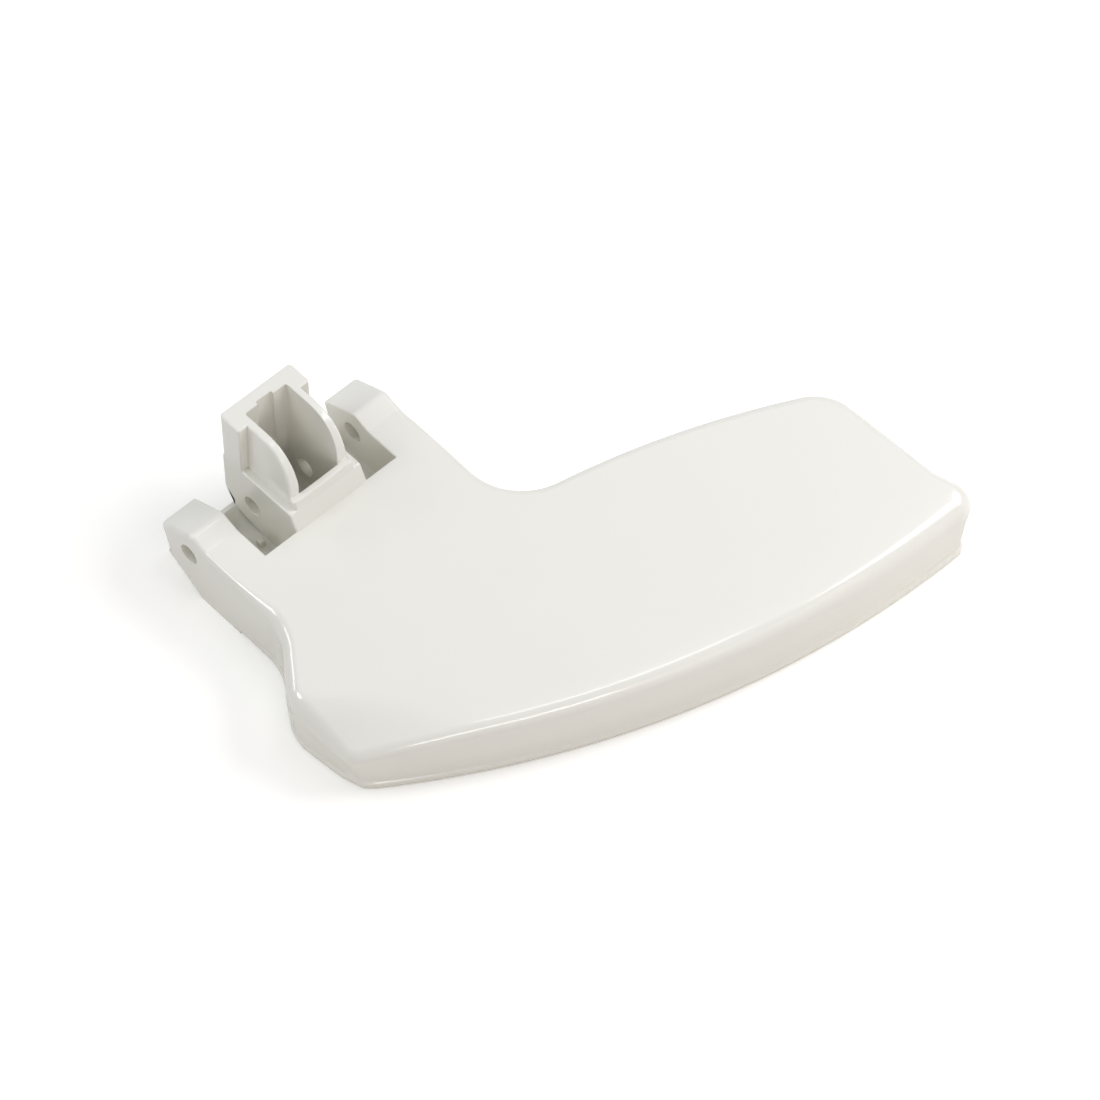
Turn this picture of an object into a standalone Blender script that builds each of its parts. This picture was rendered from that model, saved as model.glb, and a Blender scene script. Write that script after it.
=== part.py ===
"""Washing machine door handle: one moulded lever with a hinge tab, a latch box and a curved pull.

X runs along the hinge axis, Y from the pull towards the hinge and Z up from the open underside.
The parts are modelled about the middle of the hinge tab, with the front wall of the spring
notches at Y = 0, and the finished moulding is then centred on the origin, standing on Z = 0.
"""
import math
from dataclasses import dataclass

import bmesh
import bpy
from mathutils import Matrix, Vector

MM = 0.001

# Whole moulding
body_height = 16.5 * MM
wall = 2.4 * MM
skin = 2.4 * MM

# Plan of the lever
tab_width = 50.0 * MM
front_radius = 203.0 * MM
front_centre = Vector((87.3 * MM, 120.7 * MM))
back_radius = 182.7 * MM
back_centre = Vector((-2.0 * MM, -203.5 * MM))
left_end = Vector((-34.9 * MM, -28.0 * MM))
left_end_angle = math.radians(185.5)
right_end = Vector((88.9 * MM, -60.0 * MM))
right_end_angle = math.radians(1.3)
shoulder_point = Vector((-31.0 * MM, -21.4 * MM))
shoulder_angle = math.radians(142.0)
rail_flare = Vector((89.2 * MM, -72.8 * MM))
rail_flare_angle = math.radians(26.0)
chord = 5.0 * MM
arc_step = math.radians(10.0)

# Section of the pull
step_height = 1.8 * MM
step_slope = 0.4 * MM
step_proud = 0.45 * MM
left_tuck = 1.0 * MM
rail_tuck = 2.2 * MM
foot_corner_radius = 10.0 * MM
roll_steps = 5
crown_width = 12.5 * MM
crown_drop = 1.6 * MM
crown_ends = [
    (-24.5 * MM, 12.6 * MM),
    (-28.0 * MM, 10.1 * MM),
    (-32.0 * MM, 7.3 * MM),
    (-36.5 * MM, 4.7 * MM),
]
fall_start = -14.0 * MM
fall_depth = 4.0 * MM
fall_width = 15.0 * MM
fall_ease = 9.0 * MM

# Stiffening ribs on the underside
rib_thickness = 1.6 * MM
rib_foot = 9.6 * MM
rib_count = 7
rib_first_x = -18.0 * MM
rib_last_x = 80.0 * MM
ring_rib_inset = 21.0 * MM

# Hinge: pin axis, ears and the scooped floor between them
pin_y = 12.75 * MM
pin_z = 11.75 * MM
pin_diameter = 4.4 * MM
ear_width = 8.45 * MM
ear_back = 20.9 * MM
ear_back_z = 13.9 * MM
ear_ridge_y = 12.2 * MM
ear_ridge_z = 18.1 * MM
ear_ramp_y = 8.0 * MM
ear_nose_y = 19.2 * MM
ear_nose_z = 7.0 * MM
ear_nose_radius = 3.0 * MM
ear_foot_y = 9.5 * MM
ear_edge = 0.9 * MM
scoop_radius = 7.0 * MM
lip_z = 7.0 * MM
lip_y = 18.9 * MM
lip_underside_z = 6.3 * MM
root = 1.2 * MM
seam = 0.05 * MM

# Latch box
box_width = 17.8 * MM
box_top = 33.3 * MM
box_back = 20.9 * MM
box_chamfer_y = 18.5 * MM
box_chamfer_z = 10.9 * MM
box_chamfer_low_z = 8.3 * MM
ledge_z = 20.5 * MM
box_foot_y = -0.2 * MM
ledge_y = 1.5 * MM
pillar_front = 15.3 * MM
flank_recess = 1.5 * MM
flank_draft = 0.7 * MM
lip_front_y = 1.85 * MM
front_lip_z = 22.4 * MM
front_lip_wall = 1.5 * MM
cheek_shoulder_y = 12.0 * MM
cavity_width = 10.6 * MM
cavity_floor_width = 8.8 * MM
cavity_back = 17.7 * MM
cavity_floor = 7.5 * MM
key_width = 3.8 * MM
key_depth = 0.7 * MM
over = 5.0 * MM
peg_x = -10.6 * MM
peg_y = 9.0 * MM
peg_size = 1.4 * MM
peg_height = 1.5 * MM

weld_distance = 0.01 * MM
flush_digits = 7


@dataclass
class Line:
    """A straight edge of the plan: a point on it, its outward normal's angle and extra stops."""

    point: Vector
    angle: float
    stops: tuple = ()

    def distance(self, place):
        return (place - self.point).dot(self.normal())

    def normal(self, place=None):
        return Vector((math.cos(self.angle), math.sin(self.angle)))

    def between(self, start, end):
        """The extra stops that lie between two places, each given by its Y."""
        run = end - start
        shares = [(y - start.y) / run.y for y in self.stops if 0 < (y - start.y) * run.y < run.y ** 2]
        return [start + run * share for share in sorted(shares)]

    def moved_in(self, inset):
        return Line(self.point - inset * self.normal(), self.angle, self.stops)


@dataclass
class Round:
    """A round edge of the plan, with the body inside its circle."""

    centre: Vector
    radius: float

    def distance(self, place):
        return (place - self.centre).length - self.radius

    def normal(self, place):
        return (place - self.centre).normalized()

    def between(self, start, end):
        """Points along the edge between two places, about one chord apart."""
        return sweep(self.centre, start, end, chord / self.radius)

    def moved_in(self, inset):
        return Round(self.centre, self.radius - inset)


@dataclass
class Corner:
    """A corner of the plan: a place near it, its radius, the top edge's roll and the foot step.

    A negative radius makes a hollow corner.
    """

    near: tuple
    radius: float
    roll: float
    step: float = 0.0


@dataclass
class Station:
    """One place on the plan: position, outward normal, roll of the top edge and foot step."""

    place: Vector
    normal: Vector
    roll: float = 0.0
    step: float = 0.0

    def inside(self, inset):
        """The place moved into the body along the normal."""
        return self.place - inset * self.normal


tab_end = Corner((0.0, 0.0), 0.0, 0.5 * MM, 0.1 * MM)
hollow_left = Corner((-27 * MM, -16 * MM), -14.0 * MM, 2.6 * MM, 0.1 * MM)
shoulder_corner = Corner((-33 * MM, -28 * MM), 9.0 * MM, 4.2 * MM, 0.3 * MM)
front_left = Corner((-31 * MM, -43 * MM), 4.0 * MM, 1.9 * MM, step_proud)
rail_corner = Corner((87 * MM, -78 * MM), 4.0 * MM, 3.2 * MM, step_proud)
rail_hollow = Corner((93 * MM, -71 * MM), -6.0 * MM, 1.8 * MM, 0.1 * MM)
front_right = Corner((84 * MM, -77 * MM), 5.5 * MM, 3.4 * MM)
back_right = Corner((80 * MM, -52 * MM), 10.0 * MM, 2.4 * MM, 0.1 * MM)
hollow_right = Corner((38 * MM, -12 * MM), -13.4 * MM, 2.0 * MM, 0.1 * MM)


def sweep(centre, start, end, largest_step):
    """Points strictly between two places on a circle, the short way round."""
    first = start - centre
    turn = math.atan2(first.cross(end - centre), first.dot(end - centre))
    count = max(1, math.ceil(abs(turn) / largest_step))
    return [centre + Matrix.Rotation(turn * i / count, 2) @ first for i in range(1, count)]


def fillet(before, after, corner):
    """Centre and two tangent points of a corner between two edges of the plan."""
    centre = Vector(corner.near)
    radius = corner.radius
    for _ in range(30):
        a, b = before.normal(centre), after.normal(centre)
        u = before.distance(centre) + radius
        v = after.distance(centre) + radius
        det = a.x * b.y - a.y * b.x
        centre -= Vector(((u * b.y - v * a.y) / det, (v * a.x - u * b.x) / det))
    return centre, centre + radius * before.normal(centre), centre + radius * after.normal(centre)


def corner_stations(centre, start, end, radius):
    """Stations along one rounded corner, its two tangent points included."""
    facing = 1.0 if radius > 0 else -1.0
    places = [start, *sweep(centre, start, end, arc_step), end]
    return [Station(place, facing * (place - centre).normalized()) for place in places]


def plan_stations(edges, corners):
    """Stations round the open plan, from the notch line on the left to that on the right."""
    arcs = []
    for before, after, corner in zip(edges, edges[1:], corners):
        arcs.append(corner_stations(*fillet(before, after, corner), corner.radius))
    first, last = edges[0], edges[-1]
    stations = [Station(Vector((first.point.x, y)), first.normal()) for y in (0.0, -2 * wall)]
    knots = [0]
    for arc, after, following in zip(arcs, edges[1:], [*arcs[1:], None]):
        knots.append(len(stations) + len(arc) // 2)
        stations += arc
        if following:
            run = after.between(arc[-1].place, following[0].place)
            stations += [Station(place, after.normal(place)) for place in run]
    stations += [Station(Vector((last.point.x, y)), last.normal()) for y in (-2 * wall, 0.0)]
    knots.append(len(stations) - 1)
    spread_rolls(stations, knots, [tab_end, *corners, tab_end])
    return stations


def spread_rolls(stations, knots, corners):
    """Give the stations rolls and steps that change evenly from corner to corner."""
    travel = [0.0]
    for before, after in zip(stations, stations[1:]):
        travel.append(travel[-1] + (after.place - before.place).length)
    for (low, high), (before, after) in zip(zip(knots, knots[1:]), zip(corners, corners[1:])):
        for i in range(low, high + 1):
            share = (travel[i] - travel[low]) / (travel[high] - travel[low])
            stations[i].roll = before.roll + (after.roll - before.roll) * share
            stations[i].step = before.step + (after.step - before.step) * share


def left_stops():
    """Y of the crown rows where they meet the left end."""
    return [y for y, _ in crown_ends]


def right_stops():
    """Y of the crown rows where they meet the right end."""
    return [front_centre.y - front_radius + depth for _, depth in crown_ends]


def outer_plan():
    """Edges and corners of the outer wall, with the rail's flared right end."""
    half = tab_width / 2
    edges = [
        Line(Vector((-half, 0.0)), math.pi),
        Line(shoulder_point, shoulder_angle),
        Line(left_end, left_end_angle, left_stops()),
        Round(front_centre, front_radius),
        Line(rail_flare, rail_flare_angle, right_stops()),
        Line(right_end, right_end_angle, right_stops()),
        Round(back_centre, back_radius),
        Line(Vector((half, 0.0)), 0.0),
    ]
    left = [hollow_left, shoulder_corner, front_left]
    right = [rail_corner, rail_hollow, back_right, hollow_right]
    return edges, left + right


def inner_plan(inset):
    """Edges and corners of the hollow, at a distance inside the outer wall and without the flare."""
    half = tab_width / 2
    edges = [
        Line(Vector((-half, 0.0)), math.pi),
        Line(shoulder_point, shoulder_angle),
        Line(left_end, left_end_angle, left_stops()),
        Round(front_centre, front_radius),
        Line(right_end, right_end_angle, right_stops()),
        Round(back_centre, back_radius),
        Line(Vector((half, 0.0)), 0.0),
    ]
    corners = []
    for corner in (hollow_left, shoulder_corner, front_left, front_right, back_right, hollow_right):
        roll = max(0.4 * MM, corner.roll - inset * 0.6)
        radius = corner.radius - inset
        if 0 < radius < wall:
            radius = wall
        corners.append(Corner(corner.near, radius, roll))
    return [edge.moved_in(inset) for edge in edges], corners


def smooth(value, low, high):
    """0 below low, 1 above high and an even S between them."""
    share = min(1.0, max(0.0, (value - low) / (high - low)))
    return share * share * (3 - 2 * share)


def top_height(place):
    """Height of the top: flat, but for the crown along the front edge and the fall to the left end."""
    depth = front_radius - (place - front_centre).length
    crown = min(1.0, max(0.0, 1 - depth / crown_width))
    reach = min(1.0, max(0.0, (fall_start - place.x) / (fall_start - left_end.x)))
    fall = fall_depth * reach ** 2 * smooth(fall_width - depth, 0.0, fall_ease)
    return body_height - crown_drop * crown ** 2 - fall


def tuck_left(station):
    """How far the foot of the left end stands back under the widest line of its wall."""
    facing = max(0.0, -station.normal.x)
    return left_tuck * facing ** 4 * smooth(-station.place.y, 18 * MM, 26 * MM)


def tuck_rail(station):
    """How far the foot stands back under the rail's flared right end."""
    facing = max(0.0, station.normal.x)
    return rail_tuck * facing * smooth(-station.place.y, 70 * MM, 77 * MM)


def eased(place, wedge):
    """A place of the foot moved in onto the larger arc that rounds the front left corner."""
    centre, start, end = wedge
    here = place - centre
    if (start - centre).cross(here) > 0 and here.cross(end - centre) > 0:
        return centre + here.normalized() * foot_corner_radius
    return place


def outer_rings(stations):
    """Rings of the outer surface from the foot up to the edge of the top."""
    edges, _ = outer_plan()
    wedge = fillet(edges[2], edges[3], Corner(front_left.near, foot_corner_radius, front_left.roll))
    foot, bead, step = [], [], []
    for s in stations:
        tuck = tuck_left(s) + tuck_rail(s)
        foot.append((eased(s.inside(tuck), wedge), 0.0))
        bead.append((eased(s.inside(tuck * 0.9), wedge), step_height))
        step.append((eased(s.inside(tuck * 0.85), wedge) - s.step * s.normal, step_height + step_slope))
    rings = [foot, bead, step]
    for k in range(roll_steps + 1):
        turn = math.pi / 2 * k / roll_steps
        ring = []
        for s in stations:
            place = s.inside(s.roll * (1 - math.cos(turn)))
            ring.append((place, top_height(place) - s.roll * (1 - math.sin(turn))))
        rings.append(ring)
    return rings


def inner_rings(inset, skin_depth):
    """Rings of a hollow inside the wall, from its foot up to a ceiling at a depth under the top."""
    foot, spring, crown = [], [], []
    for s in plan_stations(*inner_plan(inset)):
        ceiling = top_height(s.place) - skin_depth
        foot.append((s.inside(tuck_left(s)), 0.0))
        spring.append((s.place, ceiling - s.roll))
        place = s.inside(s.roll * 0.8)
        crown.append((place, top_height(place) - skin_depth))
    for ring in (foot, spring, crown):
        for end in (0, -1):
            place, height = ring[end]
            ring[end] = (Vector((place.x, -inset)), height)
    return [foot, spring, crown]


def add_row(bm, points):
    """Vertices for a row of places with heights."""
    return [bm.verts.new((place.x, place.y, z)) for place, z in points]


def zip_rows(bm, one, other):
    """Triangles between two rows of vertices, always closing the shorter diagonal next.

    Where the rows share an end, the second row stops one vertex short of it.
    """
    i = 0
    j = 1 if one[0] == other[0] else 0
    stop = len(other) - (2 if one[-1] == other[-1] else 1)
    while i < len(one) - 1 or j < stop:
        step_one = step_other = math.inf
        if i < len(one) - 1:
            step_one = (one[i + 1].co - other[j].co).length
        if j < stop:
            step_other = (other[j + 1].co - one[i].co).length
        if step_one < step_other:
            bm.faces.new((one[i], one[i + 1], other[j]))
            i += 1
        else:
            bm.faces.new((one[i], other[j + 1], other[j]))
            j += 1


def add_rings(bm, rings):
    """Vertices of each closed ring joined to the next by quads, and the rings of vertices."""
    rows = [add_row(bm, ring) for ring in rings]
    count = len(rows[0])
    for low, high in zip(rows, rows[1:]):
        for i in range(count):
            j = (i + 1) % count
            bm.faces.new((low[i], low[j], high[j], high[i]))
    return rows


def add_top(bm, edge, skin_depth=0.0):
    """Close a top: rows along the crown, zipped together, and one flat face behind them."""
    left = [nearest(edge, left_end.x, y) for y in reversed(left_stops())]
    right = [nearest(edge, right_end.x, y) for y in reversed(right_stops())]
    before = edge[left[0]:right[0] + 1]
    for k, (i, j) in enumerate(zip(left, right)):
        row = [edge[i], *crown_row(bm, edge[i].co, edge[j].co, skin_depth), edge[j]]
        if k > 0:
            before = [*edge[i:left[k - 1]], *before, *edge[right[k - 1] + 1:j + 1]]
        zip_rows(bm, before, row)
        before = row
    for vertex in before:
        vertex.co.z = body_height - skin_depth
    bm.faces.new([*edge[:left[-1]], *before, *edge[right[-1] + 1:]])


def nearest(row, x, y):
    """Index of the vertex in a row that is nearest to a place."""
    return min(range(len(row)), key=lambda i: (row[i].co.xy - Vector((x, y))).length)


def crown_row(bm, start, end, skin_depth):
    """Vertices between two places, turning about the front arc's centre."""
    first, last = start.xy - front_centre, end.xy - front_centre
    turn = math.atan2(first.cross(last), first.dot(last))
    count = round(abs(turn) * front_radius / chord)
    row = []
    for i in range(1, count):
        share = i / count
        radius = first.length + (last.length - first.length) * share
        place = front_centre + radius * (Matrix.Rotation(turn * share, 2) @ first.normalized())
        row.append((place, top_height(place) - skin_depth))
    return add_row(bm, row)


def make_flush(bm):
    """Round places to a tenth of a micrometre, so that faces meant to be flush are flush."""
    for vertex in bm.verts:
        vertex.co = [round(c, flush_digits) for c in vertex.co]


def finish_mesh(bm, name, collection):
    """Turn the bmesh into an object, a closed one with its faces pointing out."""
    make_flush(bm)
    bmesh.ops.triangulate(bm, faces=bm.faces)
    bmesh.ops.recalc_face_normals(bm, faces=bm.faces)
    if bm.calc_volume(signed=True) < 0:
        bmesh.ops.reverse_faces(bm, faces=bm.faces)
    mesh = bpy.data.meshes.new(name)
    bm.to_mesh(mesh)
    bm.free()
    thing = bpy.data.objects.new(name, mesh)
    collection.objects.link(thing)
    return thing


def make_shell(collection):
    """The pull and tab as one open-bottomed shell: outer wall, top skin and hollow."""
    bm = bmesh.new()
    outer = add_rings(bm, outer_rings(plan_stations(*outer_plan())))
    hollow = add_rings(bm, inner_rings(wall, skin))
    zip_rows(bm, outer[0] + outer[0][:1], hollow[0] + hollow[0][:1])
    add_top(bm, outer[-1])
    add_top(bm, hollow[-1], skin)
    return finish_mesh(bm, "handle", collection)


def make_core(collection):
    """The space that the ribs may fill: the hollow grown half into the wall and skin."""
    bm = bmesh.new()
    rows = add_rings(bm, inner_rings(wall / 2, skin / 2))
    for vertex in rows[0]:
        vertex.co.z = rib_foot
    bm.faces.new(rows[0])
    add_top(bm, rows[-1], skin / 2)
    return finish_mesh(bm, "rib_space", collection)


def make_plate(name, outline, middle_x, width, collection):
    """A plate across the hinge axis: an outline in Y and Z, extruded along X."""
    curve = bpy.data.curves.new(name, "CURVE")
    curve.dimensions = "2D"
    curve.fill_mode = "BOTH"
    curve.extrude = width / 2
    spline = curve.splines.new("POLY")
    spline.points.add(len(outline) - 1)
    for point, (y, z) in zip(spline.points, outline):
        point.co = (y, z, 0.0, 1.0)
    spline.use_cyclic_u = True
    guide = bpy.data.objects.new(name + "_outline", curve)
    collection.objects.link(guide)
    mesh = bpy.data.meshes.new_from_object(guide.evaluated_get(bpy.context.evaluated_depsgraph_get()))
    bpy.data.objects.remove(guide)
    bpy.data.curves.remove(curve)
    bm = bmesh.new()
    bm.from_mesh(mesh)
    bpy.data.meshes.remove(mesh)
    bmesh.ops.remove_doubles(bm, verts=bm.verts, dist=weld_distance)
    upright = Matrix(((0, 0, 1, middle_x), (1, 0, 0, 0), (0, 1, 0, 0), (0, 0, 0, 1)))
    bm.transform(upright)
    return finish_mesh(bm, name, collection)


def rounded(corners, step=math.radians(15.0)):
    """A closed outline with each corner (y, z, radius) rounded by an arc."""
    points = []
    count = len(corners)
    for i, (y, z, radius) in enumerate(corners):
        here = Vector((y, z))
        if radius == 0:
            points.append(tuple(here))
            continue
        before = (Vector(corners[i - 1][:2]) - here).normalized()
        after = (Vector(corners[(i + 1) % count][:2]) - here).normalized()
        half = math.acos(max(-1.0, min(1.0, before.dot(after)))) / 2
        centre = here + (before + after).normalized() * radius / math.sin(half)
        start = here + before * radius / math.tan(half)
        end = here + after * radius / math.tan(half)
        points += [tuple(p) for p in [start, *sweep(centre, start, end, step), end]]
    return points


def ear_outline(inset):
    """Side view of a hinge ear: ramp and ridge on top, undercut nose behind.

    The edges above the nose are moved in by the inset.
    """
    low, high = 0.0, inset
    return rounded(moved_in([
        (-root, 0.0, 0.0, low),
        (ear_foot_y, 0.0, 0.0, low),
        (ear_nose_y, ear_nose_z, ear_nose_radius, high),
        (ear_back, ear_back_z, 0.0, high),
        (ear_ridge_y, ear_ridge_z, 1.6 * MM, high),
        (ear_ramp_y, body_height - seam, 1.2 * MM, high),
        (-root, body_height - seam, 0.0, low),
    ]))


def moved_in(corners):
    """Corners (y, z, radius) after each edge that leaves one is moved in by its own inset."""
    count = len(corners)
    lines = []
    for i, (y, z, _, inset) in enumerate(corners):
        here = Vector((y, z))
        along = (Vector(corners[(i + 1) % count][:2]) - here).normalized()
        lines.append((here + inset * along.orthogonal(), along))
    moved = []
    for i, (_, _, radius, inset) in enumerate(corners):
        (p, u), (q, v) = lines[i - 1], lines[i]
        place = p + u * (q - p).cross(v) / u.cross(v)
        change = inset if u.cross(v) > 0 else -inset
        moved.append((place.x, place.y, max(0.0, radius - change) if radius else 0.0))
    return moved


def web_outline():
    """Side view of the web under the notches: a scooped floor round the pin, with a back lip."""
    low = Vector((pin_y, pin_z - scoop_radius))
    rise = pin_z - lip_z
    reach = math.sqrt(scoop_radius ** 2 - rise ** 2)
    high = Vector((pin_y + reach, lip_z))
    centre = Vector((pin_y, pin_z))
    scoop = [tuple(p) for p in [high, *sweep(centre, high, low, math.radians(10.0)), low]]
    return [
        (-root, 0.0),
        (ear_foot_y, 0.0),
        (lip_y, lip_underside_z),
        (lip_y, lip_z),
        *scoop,
        (-root, pin_z - scoop_radius),
    ]


def box_base_outline():
    """Side view of the latch box below its ledge."""
    return [
        (-root, wall),
        (box_chamfer_y, lip_underside_z + 0.3 * MM),
        (box_chamfer_y, box_chamfer_low_z),
        (box_back, box_chamfer_z),
        (box_back, ledge_z),
        (ledge_y, ledge_z),
        (box_foot_y, body_height),
        (-root, body_height - 2 * root),
    ]


def cheek_outline():
    """Side view of the latch box's cheeks: a front lip, then a curved edge up to the flat top."""
    lip_back = lip_front_y + front_lip_wall
    centre = Vector((cheek_shoulder_y, front_lip_z))
    across = cheek_shoulder_y - lip_back
    up = box_top - front_lip_z
    curve = []
    for i in range(1, 13):
        turn = math.pi / 2 * i / 12
        y = centre.x - across * math.cos(turn) ** 0.85
        curve.append((y, centre.y + up * math.sin(turn) ** 0.85))
    return [
        (ledge_y, ledge_z - wall),
        (box_back - wall, ledge_z - wall),
        (box_back - wall, box_top),
        *reversed(curve),
        (lip_back, front_lip_z),
        (lip_front_y, front_lip_z),
        (ledge_y, ledge_z),
    ]


def make_box(name, low, high, collection):
    """A block between two opposite corners."""
    bm = bmesh.new()
    bmesh.ops.create_cube(bm, size=1.0)
    size = Vector(high) - Vector(low)
    middle = (Vector(high) + Vector(low)) / 2
    bmesh.ops.scale(bm, vec=size, verts=bm.verts)
    bmesh.ops.translate(bm, vec=middle, verts=bm.verts)
    return finish_mesh(bm, name, collection)


def taper_sides(thing, low_z, high_z, narrower):
    """Draft along X: each side leans in by the given amount between two heights."""
    for vertex in thing.data.vertices:
        share = min(1.0, max(0.0, (vertex.co.z - low_z) / (high_z - low_z)))
        vertex.co.x -= math.copysign(narrower * share, vertex.co.x)


def make_ear(side, collection):
    """One hinge ear, lofted from its inner face to its rounded outer edge."""
    half = tab_width / 2 - seam
    bm = bmesh.new()
    sections = [(half - ear_width, 0.0)]
    for k in range(3):
        turn = math.pi / 2 * k / 2
        sections.append((half - ear_edge * (1 - math.sin(turn)), ear_edge * (1 - math.cos(turn))))
    rows = []
    for x, inset in sections:
        rows.append([bm.verts.new((side * x, y, z)) for y, z in ear_outline(inset)])
    count = len(rows[0])
    for low, high in zip(rows, rows[1:]):
        for i in range(count):
            j = (i + 1) % count
            bm.faces.new((low[i], low[j], high[j], high[i]))
    bm.faces.new(rows[0])
    bm.faces.new(rows[-1])
    return finish_mesh(bm, f"ear_{'left' if side < 0 else 'right'}", collection)


def make_cavity(collection):
    """The latch box's hollow, narrowing downwards, with the key groove in its back wall."""
    front = lip_front_y + front_lip_wall
    half = cavity_width / 2
    low = (-half, front, cavity_floor)
    high = (half, cavity_back, box_top + over)
    hollow = make_box("cavity", low, high, collection)
    narrowing = (cavity_width - cavity_floor_width) / 2
    for vertex in hollow.data.vertices:
        if vertex.co.z < box_top:
            vertex.co.x -= math.copysign(narrowing, vertex.co.x)
    low = (-key_width / 2, cavity_back - key_depth, ledge_z - wall)
    high = (key_width / 2, cavity_back + key_depth, box_top + over)
    groove = make_box("key_groove", low, high, collection)
    return [hollow, groove]


def make_pin_bore(collection):
    """The bore for the hinge pin, through both ears and the latch box."""
    bm = bmesh.new()
    length = tab_width + 2 * wall
    across = Matrix.Translation((0.0, pin_y, pin_z)) @ Matrix.Rotation(math.pi / 2, 4, "Y")
    bmesh.ops.create_cone(
        bm, cap_ends=True, segments=24, radius1=pin_diameter / 2, radius2=pin_diameter / 2, depth=length, matrix=across
    )
    return finish_mesh(bm, "pin_bore", collection)


def make_ribs(collection):
    """Radial ribs about the front arc's centre, one ring rib and two ribs along the tab."""
    low, high = rib_foot / 2, body_height
    middle = Vector((front_centre.x, front_centre.y))
    ribs = []
    first = math.atan2(rib_first_x - middle.x, front_radius)
    last = math.atan2(rib_last_x - middle.x, front_radius)
    for i in range(rib_count):
        turn = first + (last - first) * i / (rib_count - 1)
        corner = (rib_thickness / 2, 0.0, high)
        rib = make_box(f"rib_{i}", (-rib_thickness / 2, -front_radius - wall, low), corner, collection)
        spin = Matrix.Translation((*middle, 0.0)) @ Matrix.Rotation(turn, 4, "Z")
        rib.data.transform(spin)
        ribs.append(rib)
    ribs.append(make_ring_rib(low, high, collection))
    reach = box_width / 2 - rib_thickness / 2
    for side in (-1, 1):
        name = f"tab_rib_{'left' if side < 0 else 'right'}"
        low_corner = (side * reach - rib_thickness / 2, -tab_width * 0.75, low)
        high_corner = (side * reach + rib_thickness / 2, 0.0, high)
        ribs.append(make_box(name, low_corner, high_corner, collection))
    return ribs


def make_ring_rib(low, high, collection):
    """A rib that follows the front edge at a fixed distance, as an upright strip with thickness."""
    bm = bmesh.new()
    radius = front_radius - ring_rib_inset
    count = 40
    rows = []
    for i in range(count + 1):
        turn = math.radians(-140.0 + 75.0 * i / count)
        x = front_centre.x + radius * math.cos(turn)
        y = front_centre.y + radius * math.sin(turn)
        rows.append([bm.verts.new((x, y, z)) for z in (low, high)])
    for (a, b), (c, d) in zip(rows, rows[1:]):
        bm.faces.new((a, c, d, b))
    strip = finish_mesh(bm, "ring_rib", collection)
    thick = strip.modifiers.new("thickness", "SOLIDIFY")
    thick.thickness = rib_thickness
    thick.offset = 0.0
    return strip


def boolean(thing, other, operation):
    """Join, cut or clip with another object, which then only guides."""
    step = thing.modifiers.new(other.name, "BOOLEAN")
    step.operation = operation
    step.solver = "MANIFOLD"
    step.object = other
    other.hide_render = True
    other.display_type = "WIRE"


def tidy_faces(thing):
    """Merge the specks left where pieces meet, then the faces that lie in one plane."""
    weld = thing.modifiers.new("specks", "WELD")
    weld.merge_threshold = weld_distance
    flat = thing.modifiers.new("flat_faces", "DECIMATE")
    flat.decimate_type = "DISSOLVE"
    flat.angle_limit = math.radians(0.1)


def make_collection(name):
    collection = bpy.data.collections.new(name)
    bpy.context.scene.collection.children.link(collection)
    return collection


def make_material():
    """Glossy warm white moulded plastic."""
    material = bpy.data.materials.new("gloss_white_plastic")
    material.use_nodes = True
    shader = material.node_tree.nodes["Principled BSDF"]
    shader.inputs["Base Color"].default_value = (0.80, 0.79, 0.74, 1.0)
    shader.inputs["Roughness"].default_value = 0.16
    shader.inputs["Metallic"].default_value = 0.0
    return material


def centre_on_origin(thing):
    """Stand the finished moulding on Z = 0 with its box centred on the origin."""
    shape = thing.evaluated_get(bpy.context.evaluated_depsgraph_get())
    corners = [Vector(c) for c in shape.bound_box]
    middle_x = (min(c.x for c in corners) + max(c.x for c in corners)) / 2
    middle_y = (min(c.y for c in corners) + max(c.y for c in corners)) / 2
    return Vector((-middle_x, -middle_y, 0.0))


def main():
    for thing in list(bpy.data.objects):
        bpy.data.objects.remove(thing)
    parts = make_collection("washing_machine_door_handle")
    guides = make_collection("cutters")

    handle = make_shell(parts)
    rib_space = make_core(guides)
    for rib in make_ribs(guides):
        boolean(rib, rib_space, "INTERSECT")
        boolean(handle, rib, "UNION")
    boolean(handle, make_plate("web", web_outline(), 0.0, tab_width - 2 * seam, guides), "UNION")
    for side in (-1, 1):
        boolean(handle, make_ear(side, guides), "UNION")
    boolean(handle, make_plate("box_base", box_base_outline(), 0.0, box_width, guides), "UNION")
    cheeks = make_plate("cheeks", cheek_outline(), 0.0, box_width - 2 * flank_recess, guides)
    taper_sides(cheeks, ledge_z, box_top, flank_draft)
    boolean(handle, cheeks, "UNION")
    pillar_low = (-box_width / 2, pillar_front, ledge_z - wall)
    pillar_high = (box_width / 2, box_back, box_top)
    boolean(handle, make_box("pillar", pillar_low, pillar_high, guides), "UNION")
    peg_low = (peg_x - peg_size / 2, peg_y - peg_size / 2, pin_z - scoop_radius - peg_height / 2)
    peg_high = (peg_x + peg_size / 2, peg_y + peg_size / 2, pin_z - scoop_radius + peg_height)
    boolean(handle, make_box("spring_peg", peg_low, peg_high, guides), "UNION")
    for cutter in make_cavity(guides):
        boolean(handle, cutter, "DIFFERENCE")
    boolean(handle, make_pin_bore(guides), "DIFFERENCE")

    tidy_faces(handle)
    handle.data.materials.append(make_material())
    handle.data.shade_smooth()
    handle.data.set_sharp_from_angle(angle=math.radians(28.0))
    bpy.context.view_layer.update()
    shift = centre_on_origin(handle)
    for thing in [handle, *guides.objects]:
        thing.location = shift


main()
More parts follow.
